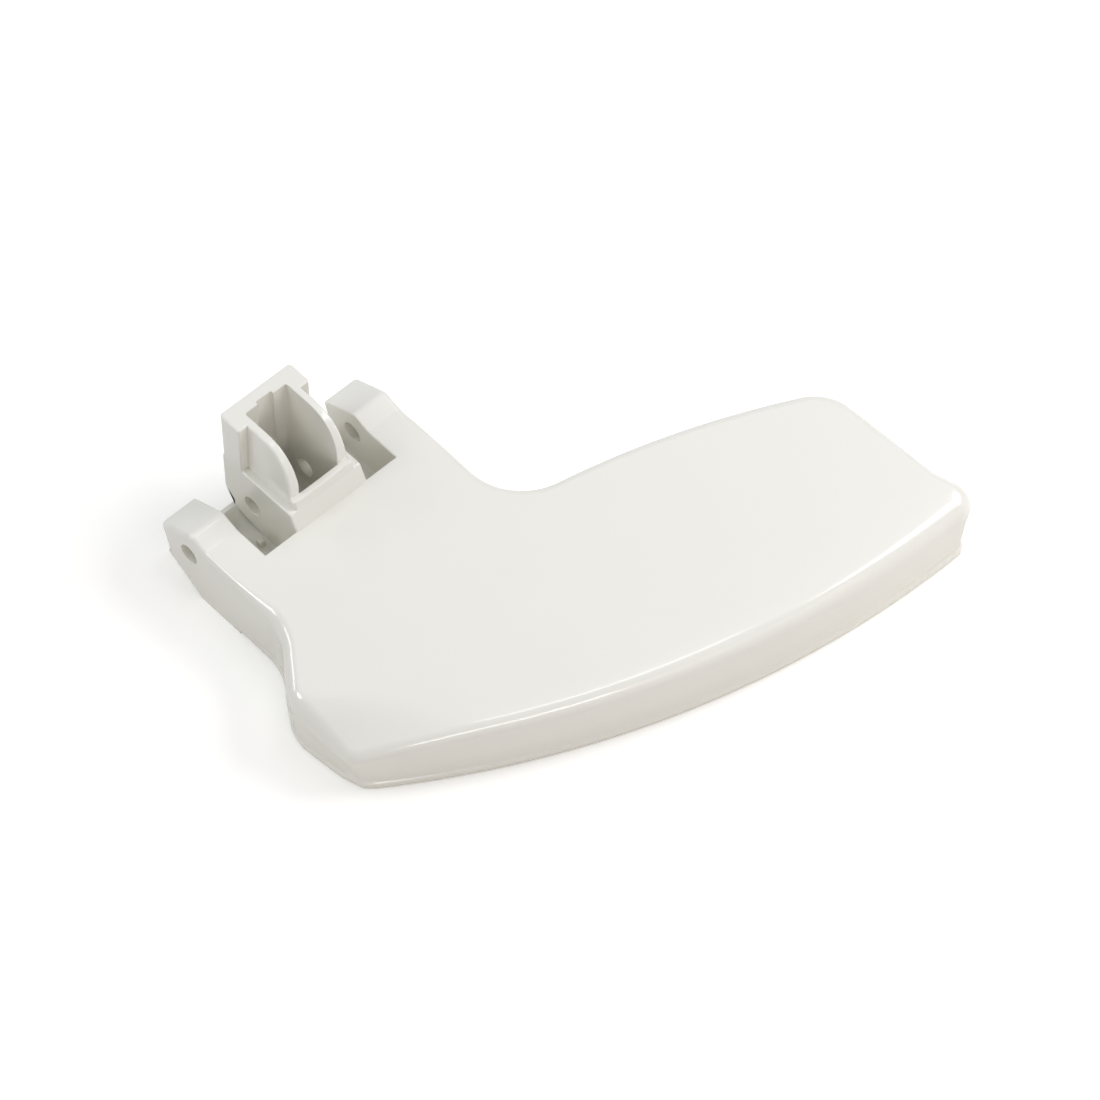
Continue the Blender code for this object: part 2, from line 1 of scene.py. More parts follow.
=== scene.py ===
"""A washing machine door handle in gloss white plastic, on a white studio table.

Lengths are in millimetres in the handle's own frame until a mesh is finished: x runs along the
hinge pin, y from the pull towards the hinge and z up from the table, with the front wall of the
spring notches at y = 0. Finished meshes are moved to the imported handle's place and to metres.
"""

import logging
import math
from collections.abc import Sequence
from dataclasses import dataclass, field
from enum import Enum

import bmesh
import bpy
from mathutils import Matrix, Quaternion, Vector


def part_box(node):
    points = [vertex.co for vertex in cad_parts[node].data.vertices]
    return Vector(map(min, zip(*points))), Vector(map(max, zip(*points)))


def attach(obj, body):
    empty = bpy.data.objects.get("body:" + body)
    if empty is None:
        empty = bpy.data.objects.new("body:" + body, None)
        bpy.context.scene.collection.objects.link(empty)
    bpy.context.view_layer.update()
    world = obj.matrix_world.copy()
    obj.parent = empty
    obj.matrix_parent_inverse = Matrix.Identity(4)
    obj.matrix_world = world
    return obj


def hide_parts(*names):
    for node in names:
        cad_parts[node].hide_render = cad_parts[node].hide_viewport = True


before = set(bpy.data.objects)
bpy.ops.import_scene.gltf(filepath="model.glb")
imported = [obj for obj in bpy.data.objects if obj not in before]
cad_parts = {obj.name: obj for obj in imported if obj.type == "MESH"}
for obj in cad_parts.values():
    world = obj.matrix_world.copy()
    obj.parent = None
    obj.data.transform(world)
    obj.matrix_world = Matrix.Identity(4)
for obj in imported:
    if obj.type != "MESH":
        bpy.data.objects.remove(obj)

log = logging.getLogger("door_handle")
NODE = "handle"
BODY = "root"
SLOT = "gloss_white_plastic"
MM = 0.001
FLUSH_DIGITS = 4


class Join(Enum):
    """How one closed piece meets another."""

    ADD = "UNION"
    CUT = "DIFFERENCE"
    CLIP = "INTERSECT"


class Axis(Enum):
    """The direction that a plate's thickness runs along."""

    X = "x"
    Z = "z"


def clamp(value: float) -> float:
    """Limit a share to the range from 0 to 1."""
    return min(1.0, max(0.0, value))


def ease(value: float, low: float, high: float) -> float:
    """Rise evenly from 0 at one value to 1 at another.

    Args:
        value: The value looked up.
        low: Where the rise starts.
        high: Where the rise ends.

    Returns:
        A share from 0 to 1 with level ends.
    """
    share = clamp((value - low) / (high - low))
    return share * share * (3.0 - 2.0 * share)


def sweep(centre: Vector, start: Vector, end: Vector, largest: float) -> list[Vector]:
    """Walk along a circle between two of its places, the short way round.

    Args:
        centre: The circle's centre.
        start: Where the walk starts.
        end: Where it ends.
        largest: The largest turn between two places, in radians.

    Returns:
        The places strictly between the two ends.
    """
    first = start - centre
    turn = math.atan2(first.cross(end - centre), first.dot(end - centre))
    count = max(1, math.ceil(abs(turn) / largest))
    return [centre + Matrix.Rotation(turn * i / count, 2) @ first for i in range(1, count)]


@dataclass
class StraightEdge:
    """A straight edge of the plan, by a point on it and its outward direction."""

    point: Vector
    angle: float

    def distance(self, place: Vector) -> float:
        """Give the distance outside the edge."""
        return (place - self.point).dot(self.normal(place))

    def normal(self, place: Vector) -> Vector:
        """Give the outward direction, the same at every place."""
        return Vector((math.cos(self.angle), math.sin(self.angle)))

    def between(self, start: Vector, end: Vector, chord: float) -> list[Vector]:
        """Divide the stretch between two places into steps of about one chord."""
        count = max(1, round((end - start).length / chord))
        return [start.lerp(end, i / count) for i in range(1, count)]

    def moved_in(self, inset: float) -> "StraightEdge":
        """Give the same edge nearer to the middle of the handle."""
        return StraightEdge(self.point - inset * self.normal(self.point), self.angle)


@dataclass
class RoundEdge:
    """A round edge of the plan, with the handle inside its circle."""

    centre: Vector
    radius: float

    def distance(self, place: Vector) -> float:
        """Give the distance outside the circle."""
        return (place - self.centre).length - self.radius

    def normal(self, place: Vector) -> Vector:
        """Give the outward direction at a place."""
        return (place - self.centre).normalized()

    def between(self, start: Vector, end: Vector, chord: float) -> list[Vector]:
        """Divide the arc between two places into steps of about one chord."""
        return sweep(self.centre, start, end, chord / self.radius)

    def moved_in(self, inset: float) -> "RoundEdge":
        """Give the same edge nearer to the middle of the handle."""
        return RoundEdge(self.centre, self.radius - inset)


@dataclass(frozen=True)
class PlanCorner:
    """A corner of the plan: a place near it, its radius, the top edge's roll and the foot step.

    A negative radius makes a hollow corner.
    """

    near: tuple[float, float]
    radius: float
    roll: float
    step: float = 0.1


@dataclass
class Station:
    """One place on the plan with its outward direction, top roll and foot step."""

    place: Vector
    normal: Vector
    roll: float = 0.0
    step: float = 0.0

    def inside(self, inset: float) -> Vector:
        """Give the place moved into the handle."""
        return self.place - inset * self.normal


Ring = list[tuple[Vector, float]]


@dataclass
class LeverPlan:
    """The lever seen from above: a hinge tab that opens into a long curved pull."""

    tab_width: float = 50.0
    front_radius: float = 203.0
    front_centre: Vector = field(default_factory=lambda: Vector((87.3, 120.7)))
    back_radius: float = 182.7
    back_centre: Vector = field(default_factory=lambda: Vector((-2.0, -203.5)))
    left_end: Vector = field(default_factory=lambda: Vector((-34.9, -28.0)))
    left_end_angle: float = math.radians(185.5)
    right_end: Vector = field(default_factory=lambda: Vector((88.9, -60.0)))
    right_end_angle: float = math.radians(1.3)
    shoulder: Vector = field(default_factory=lambda: Vector((-31.0, -21.4)))
    shoulder_angle: float = math.radians(142.0)
    flare: Vector = field(default_factory=lambda: Vector((89.2, -72.8)))
    flare_angle: float = math.radians(26.0)
    foot_corner_radius: float = 10.0
    chord: float = 1.5
    arc_step: float = math.radians(4.0)
    wall: float = 2.4
    least_roll: float = 0.4
    roll_loss: float = 0.6
    fillet_rounds: int = 30
    tab_end: PlanCorner = PlanCorner((0.0, 0.0), 0.0, 1.0, 0.0)
    hollow_left: PlanCorner = PlanCorner((-27.0, -16.0), -14.0, 2.6)
    shoulder_corner: PlanCorner = PlanCorner((-33.0, -28.0), 9.0, 3.0, 0.3)
    front_left: PlanCorner = PlanCorner((-31.0, -43.0), 4.0, 1.9, 0.45)
    rail_corner: PlanCorner = PlanCorner((87.0, -78.0), 4.0, 3.2, 0.45)
    rail_hollow: PlanCorner = PlanCorner((93.0, -71.0), -6.0, 1.8)
    front_right: PlanCorner = PlanCorner((84.0, -77.0), 5.5, 3.4)
    back_right: PlanCorner = PlanCorner((80.0, -52.0), 10.0, 2.4)
    hollow_right: PlanCorner = PlanCorner((38.0, -12.0), -13.4, 2.0)

    def edges(self, flared: bool) -> list[StraightEdge | RoundEdge]:
        """List the plan's edges from the tab's left side round the pull to its right side.

        Args:
            flared: Whether the rail's flared right end is one of them.

        Returns:
            The edges in order.
        """
        half = self.tab_width / 2
        flare = [StraightEdge(self.flare, self.flare_angle)] if flared else []
        return [
            StraightEdge(Vector((-half, 0.0)), math.pi),
            StraightEdge(self.shoulder, self.shoulder_angle),
            StraightEdge(self.left_end, self.left_end_angle),
            RoundEdge(self.front_centre, self.front_radius),
            *flare,
            StraightEdge(self.right_end, self.right_end_angle),
            RoundEdge(self.back_centre, self.back_radius),
            StraightEdge(Vector((half, 0.0)), 0.0),
        ]

    def fillet(
        self,
        before: StraightEdge | RoundEdge,
        after: StraightEdge | RoundEdge,
        near: tuple[float, float],
        radius: float,
    ) -> tuple[Vector, Vector, Vector]:
        """Solve the arc that rounds the corner between two edges.

        Args:
            before: The edge that ends at the corner.
            after: The edge that starts there.
            near: A place near the corner.
            radius: The arc's radius, negative for a hollow corner.

        Returns:
            The arc's centre and its two tangent points.
        """
        centre = Vector(near)
        for _ in range(self.fillet_rounds):
            a, b = before.normal(centre), after.normal(centre)
            u = before.distance(centre) + radius
            v = after.distance(centre) + radius
            det = a.x * b.y - a.y * b.x
            centre -= Vector(((u * b.y - v * a.y) / det, (v * a.x - u * b.x) / det))
        start = centre + radius * before.normal(centre)
        return centre, start, centre + radius * after.normal(centre)

    def corner_stations(self, centre: Vector, start: Vector, end: Vector, radius: float) -> list[Station]:
        """Make the stations along one rounded corner.

        Args:
            centre: The arc's centre.
            start: Its first tangent point.
            end: Its second tangent point.
            radius: Its radius, negative for a hollow corner.

        Returns:
            Stations from one tangent point to the other.
        """
        facing = 1.0 if radius > 0 else -1.0
        places = [start, *sweep(centre, start, end, self.arc_step), end]
        return [Station(place, facing * (place - centre).normalized()) for place in places]

    def stations(
        self, edges: Sequence[StraightEdge | RoundEdge], corners: Sequence[PlanCorner]
    ) -> list[Station]:
        """Walk round the open plan.

        Args:
            edges: The edges in order.
            corners: The corner between each edge and the next.

        Returns:
            Stations from the notch line on the left to that on the right.
        """
        arcs = []
        for before, after, corner in zip(edges, edges[1:], corners):
            solved = self.fillet(before, after, corner.near, corner.radius)
            arcs.append(self.corner_stations(*solved, corner.radius))
        first, last = edges[0], edges[-1]
        start = Vector((first.point.x, 0.0))
        run = [start, *first.between(start, arcs[0][0].place, self.chord)]
        result = [Station(place, first.normal(place)) for place in run]
        knots = [0]
        for arc, after, following in zip(arcs, edges[1:], [*arcs[1:], None]):
            knots.append(len(result) + len(arc) // 2)
            result += arc
            end = following[0].place if following else Vector((last.point.x, 0.0))
            run = after.between(arc[-1].place, end, self.chord)
            result += [Station(place, after.normal(place)) for place in run]
        end = Vector((last.point.x, 0.0))
        result.append(Station(end, last.normal(end)))
        knots.append(len(result) - 1)
        self.spread_rolls(result, knots, [self.tab_end, *corners, self.tab_end])
        return result

    def spread_rolls(self, stations: list[Station], knots: list[int], corners: Sequence[PlanCorner]) -> None:
        """Give stations rolls and steps that change evenly from corner to corner.

        Args:
            stations: The stations to change.
            knots: The station in the middle of each corner.
            corners: The corners at those stations.
        """
        travel = [0.0]
        for before, after in zip(stations, stations[1:]):
            travel.append(travel[-1] + (after.place - before.place).length)
        for (low, high), (before, after) in zip(zip(knots, knots[1:]), zip(corners, corners[1:])):
            for i in range(low, high + 1):
                share = (travel[i] - travel[low]) / (travel[high] - travel[low])
                stations[i].roll = before.roll + (after.roll - before.roll) * ease(share, 0.0, 1.0)
                stations[i].step = before.step + (after.step - before.step) * share

    def outer(self) -> list[Station]:
        """Walk round the outer wall, with the rail's flared right end.

        Returns:
            The stations.
        """
        left = [self.hollow_left, self.shoulder_corner, self.front_left]
        right = [self.rail_corner, self.rail_hollow, self.back_right, self.hollow_right]
        return self.stations(self.edges(True), left + right)

    def inner(self, inset: float) -> list[Station]:
        """Walk round the hollow, at a distance inside the outer wall.

        Args:
            inset: The distance.

        Returns:
            The stations, with smaller rolls than the outer wall's.
        """
        left = [self.hollow_left, self.shoulder_corner, self.front_left]
        right = [self.front_right, self.back_right, self.hollow_right]
        corners = []
        for corner in left + right:
            roll = max(self.least_roll, corner.roll - inset * self.roll_loss)
            radius = corner.radius - inset
            if 0.0 < radius < self.wall:
                radius = self.wall
            corners.append(PlanCorner(corner.near, radius, roll))
        return self.stations([edge.moved_in(inset) for edge in self.edges(False)], corners)


class MeshKit:
    """Turns rings, outlines and bmeshes into closed mesh objects."""

    @staticmethod
    def finish(bm: bmesh.types.BMesh, name: str) -> bpy.types.Object:
        """Make an object of a bmesh, closed and with its faces pointing out.

        Args:
            bm: The bmesh, freed here.
            name: The object's name.

        Returns:
            The object, linked to the scene.
        """
        for vertex in bm.verts:
            vertex.co = [round(c, FLUSH_DIGITS) for c in vertex.co]
        bmesh.ops.triangulate(bm, faces=bm.faces)
        bmesh.ops.recalc_face_normals(bm, faces=bm.faces)
        if bm.calc_volume(signed=True) < 0:
            bmesh.ops.reverse_faces(bm, faces=bm.faces)
        mesh = bpy.data.meshes.new(name)
        bm.to_mesh(mesh)
        bm.free()
        thing = bpy.data.objects.new(name, mesh)
        bpy.context.scene.collection.objects.link(thing)
        return thing

    @staticmethod
    def join(thing: bpy.types.Object, other: bpy.types.Object, how: Join) -> None:
        """Join, cut or clip one object with another, which is then removed.

        Args:
            thing: The object that changes.
            other: The object that is used up.
            how: What is done.
        """
        step = thing.modifiers.new(other.name, "BOOLEAN")
        step.operation = how.value
        step.solver = "MANIFOLD"
        step.object = other
        MeshKit.apply(thing)
        mesh = other.data
        bpy.data.objects.remove(other)
        bpy.data.meshes.remove(mesh)

    @staticmethod
    def apply(thing: bpy.types.Object) -> None:
        """Turn an object's modifiers into its mesh.

        Args:
            thing: The object.
        """
        graph = bpy.context.evaluated_depsgraph_get()
        mesh = bpy.data.meshes.new_from_object(thing.evaluated_get(graph))
        old = thing.data
        thing.modifiers.clear()
        thing.data = mesh
        bpy.data.meshes.remove(old)

    @staticmethod
    def add_rings(bm: bmesh.types.BMesh, rings: Sequence[Ring]) -> list[list[bmesh.types.BMVert]]:
        """Join closed rings of places and heights, each to the next, by quads.

        Args:
            bm: The bmesh that gets them.
            rings: The rings, all with the same count.

        Returns:
            The rings of vertices.
        """
        rows = [[bm.verts.new((place.x, place.y, z)) for place, z in ring] for ring in rings]
        count = len(rows[0])
        for low, high in zip(rows, rows[1:]):
            for i in range(count):
                j = (i + 1) % count
                bm.faces.new((low[i], low[j], high[j], high[i]))
        return rows

    @staticmethod
    def zip_rows(
        bm: bmesh.types.BMesh, one: Sequence[bmesh.types.BMVert], other: Sequence[bmesh.types.BMVert]
    ) -> None:
        """Fill the space between two rows with triangles, closing the shorter diagonal next.

        Args:
            bm: The bmesh that gets them.
            one: The first row.
            other: The second row, which stops one vertex short of an end that both share.
        """
        i = 0
        j = 1 if one[0] == other[0] else 0
        stop = len(other) - (2 if one[-1] == other[-1] else 1)
        while i < len(one) - 1 or j < stop:
            step_one = step_other = math.inf
            if i < len(one) - 1:
                step_one = (one[i + 1].co - other[j].co).length
            if j < stop:
                step_other = (other[j + 1].co - one[i].co).length
            if step_one < step_other:
                bm.faces.new((one[i], one[i + 1], other[j]))
                i += 1
            else:
                bm.faces.new((one[i], other[j + 1], other[j]))
                j += 1


@dataclass(frozen=True)
class Knee:
    """A corner of a plate's outline, with its radius and whether the edge after it is rounded."""

    u: float
    v: float
    radius: float = 0.0
    rounded: bool = True


@dataclass
class Plate:
    """A plate with a drawn outline, a straight thickness and softly rounded edges on both faces."""

    name: str
    outline: list[Knee]
    axis: Axis
    low: float
    high: float
    low_round: float = 0.0
    high_round: float = 0.0
    arc_step: float = math.radians(9.0)
    round_steps: int = 4
    least_radius: float = 0.02

    def moved_in(self, inset: float) -> list[Knee]:
        """Move the outline's rounded edges in.

        Args:
            inset: How far they come in.

        Returns:
            The corners of the smaller outline, with the same count.
        """
        count = len(self.outline)
        lines = []
        for i, knee in enumerate(self.outline):
            here = Vector((knee.u, knee.v))
            after = self.outline[(i + 1) % count]
            along = (Vector((after.u, after.v)) - here).normalized()
            shift = inset if knee.rounded else 0.0
            lines.append((here + shift * along.orthogonal(), along))
        moved = []
        for i, knee in enumerate(self.outline):
            (p, u), (q, v) = lines[i - 1], lines[i]
            place = p + u * (q - p).cross(v) / u.cross(v)
            change = inset if u.cross(v) > 0 else -inset
            radius = max(self.least_radius, knee.radius - change) if knee.radius else 0.0
            moved.append(Knee(place.x, place.y, radius, knee.rounded))
        return moved

    def points(self, knees: Sequence[Knee]) -> list[Vector]:
        """Round the corners of an outline.

        Args:
            knees: The corners.

        Returns:
            The outline's points.
        """
        result = []
        count = len(knees)
        for i, knee in enumerate(knees):
            here = Vector((knee.u, knee.v))
            if knee.radius == 0.0:
                result.append(here)
                continue
            before = (Vector((knees[i - 1].u, knees[i - 1].v)) - here).normalized()
            following = knees[(i + 1) % count]
            after = (Vector((following.u, following.v)) - here).normalized()
            half = math.acos(max(-1.0, min(1.0, before.dot(after)))) / 2
            centre = here + (before + after).normalized() * knee.radius / math.sin(half)
            start = here + before * knee.radius / math.tan(half)
            end = here + after * knee.radius / math.tan(half)
            result += [start, *sweep(centre, start, end, self.arc_step), end]
        return result

    def sections(self) -> list[tuple[float, float]]:
        """List the heights through the thickness, each with how far the outline comes in there."""
        return sorted(self.side(self.low, self.low_round, 1.0) + self.side(self.high, self.high_round, -1.0))

    def side(self, face: float, radius: float, inward: float) -> list[tuple[float, float]]:
        """List the sections that round one face's edges.

        Args:
            face: Where the face is along the thickness.
            radius: The rounding's radius.
            inward: 1 where the plate is above the face and -1 where it is below.

        Returns:
            Heights with insets.
        """
        if radius == 0.0:
            return [(face, 0.0)]
        result = []
        for k in range(self.round_steps + 1):
            turn = math.pi / 2 * k / self.round_steps
            result.append((face + inward * radius * (1 - math.sin(turn)), radius * (1 - math.cos(turn))))
        return result

    def place(self, point: Vector, height: float) -> tuple[float, float, float]:
        """Turn an outline point and a height into a place, by the plate's axis.

        Args:
            point: The outline's point.
            height: How far it is along the thickness.

        Returns:
            Its x, y and z.
        """
        if self.axis is Axis.X:
            return height, point.x, point.y
        return point.x, point.y, height

    def build(self) -> bpy.types.Object:
        """Loft the plate through its sections.

        Returns:
            The closed plate.
        """
        bm = bmesh.new()
        rows = []
        for height, inset in self.sections():
            points = self.points(self.moved_in(inset))
            rows.append([bm.verts.new(self.place(point, height)) for point in points])
        count = len(rows[0])
        for low, high in zip(rows, rows[1:]):
            for i in range(count):
                j = (i + 1) % count
                bm.faces.new((low[i], low[j], high[j], high[i]))
        caps = [bm.faces.new(rows[0]), bm.faces.new(rows[-1])]
        bmesh.ops.triangulate(bm, faces=caps, ngon_method="EAR_CLIP")
        return MeshKit.finish(bm, self.name)


@dataclass
class PullShell:
    """The pull and tab as one open-bottomed shell: rolled outer wall, crowned top and hollow."""

    plan: LeverPlan
    body_height: float = 16.5
    skin: float = 2.4
    rib_foot: float = 9.6
    foot_round: float = 0.8
    foot_turns: tuple[float, ...] = (0.0, 30.0, 60.0, 90.0)
    step_height: float = 1.8
    step_profile: tuple[tuple[float, float], ...] = (
        (0.0, -0.25), (0.12, -0.07), (0.4, 0.08), (0.85, 0.32), (1.0, 0.5), (1.0, 0.75)
    )
    step_tuck: float = 0.87
    left_tuck: float = 1.0
    left_tuck_run: tuple[float, float] = (18.0, 26.0)
    rail_tuck: float = 2.2
    rail_tuck_run: tuple[float, float] = (70.0, 77.0)
    ceiling_turns: tuple[float, ...] = (0.0, 20.0, 40.0, 60.0, 75.0, 90.0)
    roll_steps: int = 16
    wall_steps: int = 3
    crown_width: float = 12.5
    crown_drop: float = 1.6
    crown_rows: int = 16
    crown_chord: float = 2.25
    crown_left: tuple[float, float] = (-24.5, -40.0)
    crown_right: tuple[float, float] = (12.6, 4.0)
    fall_start: float = -10.0
    fall_depth: float = 4.0
    fall_width: float = 13.5
    fall_ease: float = 11.0

    def depth(self, place: Vector) -> float:
        """Give the distance of a place behind the front arc."""
        return self.plan.front_radius - (place - self.plan.front_centre).length

    def top_height(self, place: Vector) -> float:
        """Give the height of the top: flat, but for the front crown and the fall to the left end.

        Args:
            place: A place on the plan.

        Returns:
            The height there.
        """
        depth = self.depth(place)
        crown = clamp(1.0 - depth / self.crown_width)
        reach = clamp((self.fall_start - place.x) / (self.fall_start - self.plan.left_end.x))
        fall = self.fall_depth * reach**2 * ease(self.fall_width - depth, 0.0, self.fall_ease)
        return self.body_height - self.crown_drop * crown**2 - fall

    def tuck(self, station: Station) -> float:
        """Give how far the foot stands back under the two ends' widest line.

        Args:
            station: The place on the plan.

        Returns:
            The set-back at the table.
        """
        left = max(0.0, -station.normal.x) ** 2 * ease(-station.place.y, *self.left_tuck_run)
        right = max(0.0, station.normal.x) * ease(-station.place.y, *self.rail_tuck_run)
        return self.left_tuck * left + self.rail_tuck * right

    def eased(self, station: Station, tuck: float, wedge: tuple[Vector, Vector, Vector]) -> Vector:
        """Tuck a place in, on the larger arc that rounds the foot's front left corner.

        Args:
            station: The place on the plan.
            tuck: How far it stands back.
            wedge: The arc's centre and its two tangent points.

        Returns:
            The place at the foot.
        """
        centre, start, end = wedge
        here = station.place - centre
        if (start - centre).cross(here) > 0 and here.cross(end - centre) > 0:
            return centre + here.normalized() * (self.plan.foot_corner_radius - tuck)
        return station.inside(tuck)

    def wall_rings(self, stations: Sequence[Station]) -> list[Ring]:
        """Make the rings of the outer wall from the table up to the roll.

        Args:
            stations: The plan's stations.

        Returns:
            The foot's round, the bead, its step and the wall above it.
        """
        edges = self.plan.edges(True)
        wedge = self.plan.fillet(edges[2], edges[3], self.plan.front_left.near, self.plan.foot_corner_radius)
        rings: list[Ring] = []
        for turn in self.foot_turns:
            angle = math.radians(turn)
            out = self.foot_round * (1 - math.sin(angle))
            up = self.foot_round * (1 - math.cos(angle))
            rings.append([(self.eased(s, self.tuck(s), wedge) - out * s.normal, up) for s in stations])
        for share, rise in self.step_profile:
            ring = []
            for s in stations:
                place = self.eased(s, self.tuck(s) * self.step_tuck, wedge)
                ring.append((place - share * s.step * s.normal, self.step_height + rise))
            rings.append(ring)
        low = self.step_height + self.step_profile[-1][1]
        for k in range(1, self.wall_steps + 1):
            ring = []
            for s in stations:
                high = self.top_height(s.place) - s.roll
                share = k / (self.wall_steps + 1)
                foot = self.eased(s, self.tuck(s) * self.step_tuck, wedge) - s.step * s.normal
                ring.append((foot.lerp(s.place, share), low + (high - low) * share))
            rings.append(ring)
        return rings

    def roll_rings(self, stations: Sequence[Station]) -> list[Ring]:
        """Make the rings of the rounded edge between wall and top.

        Args:
            stations: The plan's stations.

        Returns:
            The rings.
        """
        rings = []
        for k in range(self.roll_steps + 1):
            turn = math.pi / 2 * k / self.roll_steps
            ring = []
            for s in stations:
                place = s.inside(s.roll * (1 - math.cos(turn)))
                ring.append((place, self.top_height(place) - s.roll * (1 - math.sin(turn))))
            rings.append(ring)
        return rings

    def hollow_rings(self, inset: float, skin: float) -> list[Ring]:
        """Make the rings of a hollow from the table up to its ceiling.

        Args:
            inset: How far the hollow is inside the outer wall.
            skin: How far its ceiling is under the top.

        Returns:
            The rings.
        """
        stations = self.plan.inner(inset)
        rings: list[Ring] = [[(s.inside(self.inner_tuck(s)), 0.0) for s in stations]]
        for turn in self.ceiling_turns:
            angle = math.radians(turn)
            ring = []
            for s in stations:
                place = s.inside(s.roll * (1 - math.cos(angle)))
                ring.append((place, self.top_height(place) - skin - s.roll * (1 - math.sin(angle))))
            rings.append(ring)
        closed = []
        for ring in rings:
            first, last = [(Vector((place.x, -inset)), z) for place, z in (ring[0], ring[-1])]
            closed.append([first, *[(place, z) for place, z in ring[1:-1] if place.y <= -inset], last])
        return closed

    def inner_tuck(self, station: Station) -> float:
        """Give how far the hollow's foot stands back at the left end."""
        left = max(0.0, -station.normal.x) ** 4 * ease(-station.place.y, *self.left_tuck_run)
        return self.left_tuck * left

    def nearest(self, row: Sequence[bmesh.types.BMVert], place: Vector) -> int:
        """Find the vertex of a row that is nearest to a place."""
        return min(range(len(row)), key=lambda i: (row[i].co.xy - place).length)

    def row_ends(self, edge: Sequence[bmesh.types.BMVert]) -> list[tuple[int, int]]:
        """Choose where the crown's rows meet the top's edge.

        Args:
            edge: The top's edge.

        Returns:
            Pairs of vertex numbers at the left and right ends, from the front row backwards.
        """
        foot = self.plan.front_centre.y - self.plan.front_radius
        pairs: list[tuple[int, int]] = []
        for k in range(self.crown_rows + 1):
            share = 1.0 - k / self.crown_rows
            left_y = self.crown_left[0] + (self.crown_left[1] - self.crown_left[0]) * share
            right_y = foot + self.crown_right[0] + (self.crown_right[1] - self.crown_right[0]) * share
            i = self.nearest(edge, Vector((self.plan.left_end.x, left_y)))
            j = self.nearest(edge, Vector((self.plan.right_end.x, right_y)))
            if not pairs or (i < pairs[-1][0] and j > pairs[-1][1]):
                pairs.append((i, j))
        return pairs

    def crown_row(
        self, bm: bmesh.types.BMesh, start: Vector, end: Vector, skin: float
    ) -> list[bmesh.types.BMVert]:
        """Lay a row of vertices across the crown, turning about the front arc's centre.

        Args:
            bm: The bmesh that gets them.
            start: The row's left end.
            end: Its right end.
            skin: How far the row is under the top.

        Returns:
            The vertices between the two ends.
        """
        centre = self.plan.front_centre
        first, last = start.xy - centre, end.xy - centre
        turn = math.atan2(first.cross(last), first.dot(last))
        count = round(abs(turn) * self.plan.front_radius / self.crown_chord)
        row = []
        for i in range(1, count):
            share = i / count
            radius = first.length + (last.length - first.length) * share
            place = centre + radius * (Matrix.Rotation(turn * share, 2) @ first.normalized())
            row.append(bm.verts.new((place.x, place.y, self.top_height(place) - skin)))
        return row

    def add_top(self, bm: bmesh.types.BMesh, edge: list[bmesh.types.BMVert], skin: float = 0.0) -> None:
        """Close a top: rows along the crown, zipped together, and one flat face behind them.

        Args:
            bm: The bmesh that gets it.
            edge: The ring of vertices round the top.
            skin: How far it is under the outer top.
        """
        pairs = self.row_ends(edge)
        before = edge[pairs[0][0] : pairs[0][1] + 1]
        last = pairs[0]
        for k, (i, j) in enumerate(pairs):
            row = [edge[i], *self.crown_row(bm, edge[i].co, edge[j].co, skin), edge[j]]
            if k > 0:
                before = [*edge[i : last[0]], *before, *edge[last[1] + 1 : j + 1]]
            MeshKit.zip_rows(bm, before, row)
            before, last = row, (i, j)
        for vertex in before:
            vertex.co.z = self.body_height - skin
        bm.faces.new([*edge[: last[0]], *before, *edge[last[1] + 1 :]])

    def build(self) -> bpy.types.Object:
        """Build the shell, open at the bottom.

        Returns:
            The shell, a closed mesh round its own thickness.
        """
        bm = bmesh.new()
        stations = self.plan.outer()
        outer = MeshKit.add_rings(bm, [*self.wall_rings(stations), *self.roll_rings(stations)])
        hollow = MeshKit.add_rings(bm, self.hollow_rings(self.plan.wall, self.skin))
        MeshKit.zip_rows(bm, outer[0] + outer[0][:1], hollow[0] + hollow[0][:1])
        self.add_top(bm, outer[-1])
        self.add_top(bm, hollow[-1], self.skin)
        return MeshKit.finish(bm, "pull_shell")

    def build_core(self) -> bpy.types.Object:
        """Build the space that the ribs may fill, half into wall and skin.

        Returns:
            The space as a closed mesh.
        """
        bm = bmesh.new()
        rows = MeshKit.add_rings(bm, self.hollow_rings(self.plan.wall / 2, self.skin / 2))
        for vertex in rows[0]:
            vertex.co.z = self.rib_foot
        bm.faces.new(rows[0])
        self.add_top(bm, rows[-1], self.skin / 2)
        return MeshKit.finish(bm, "rib_space")


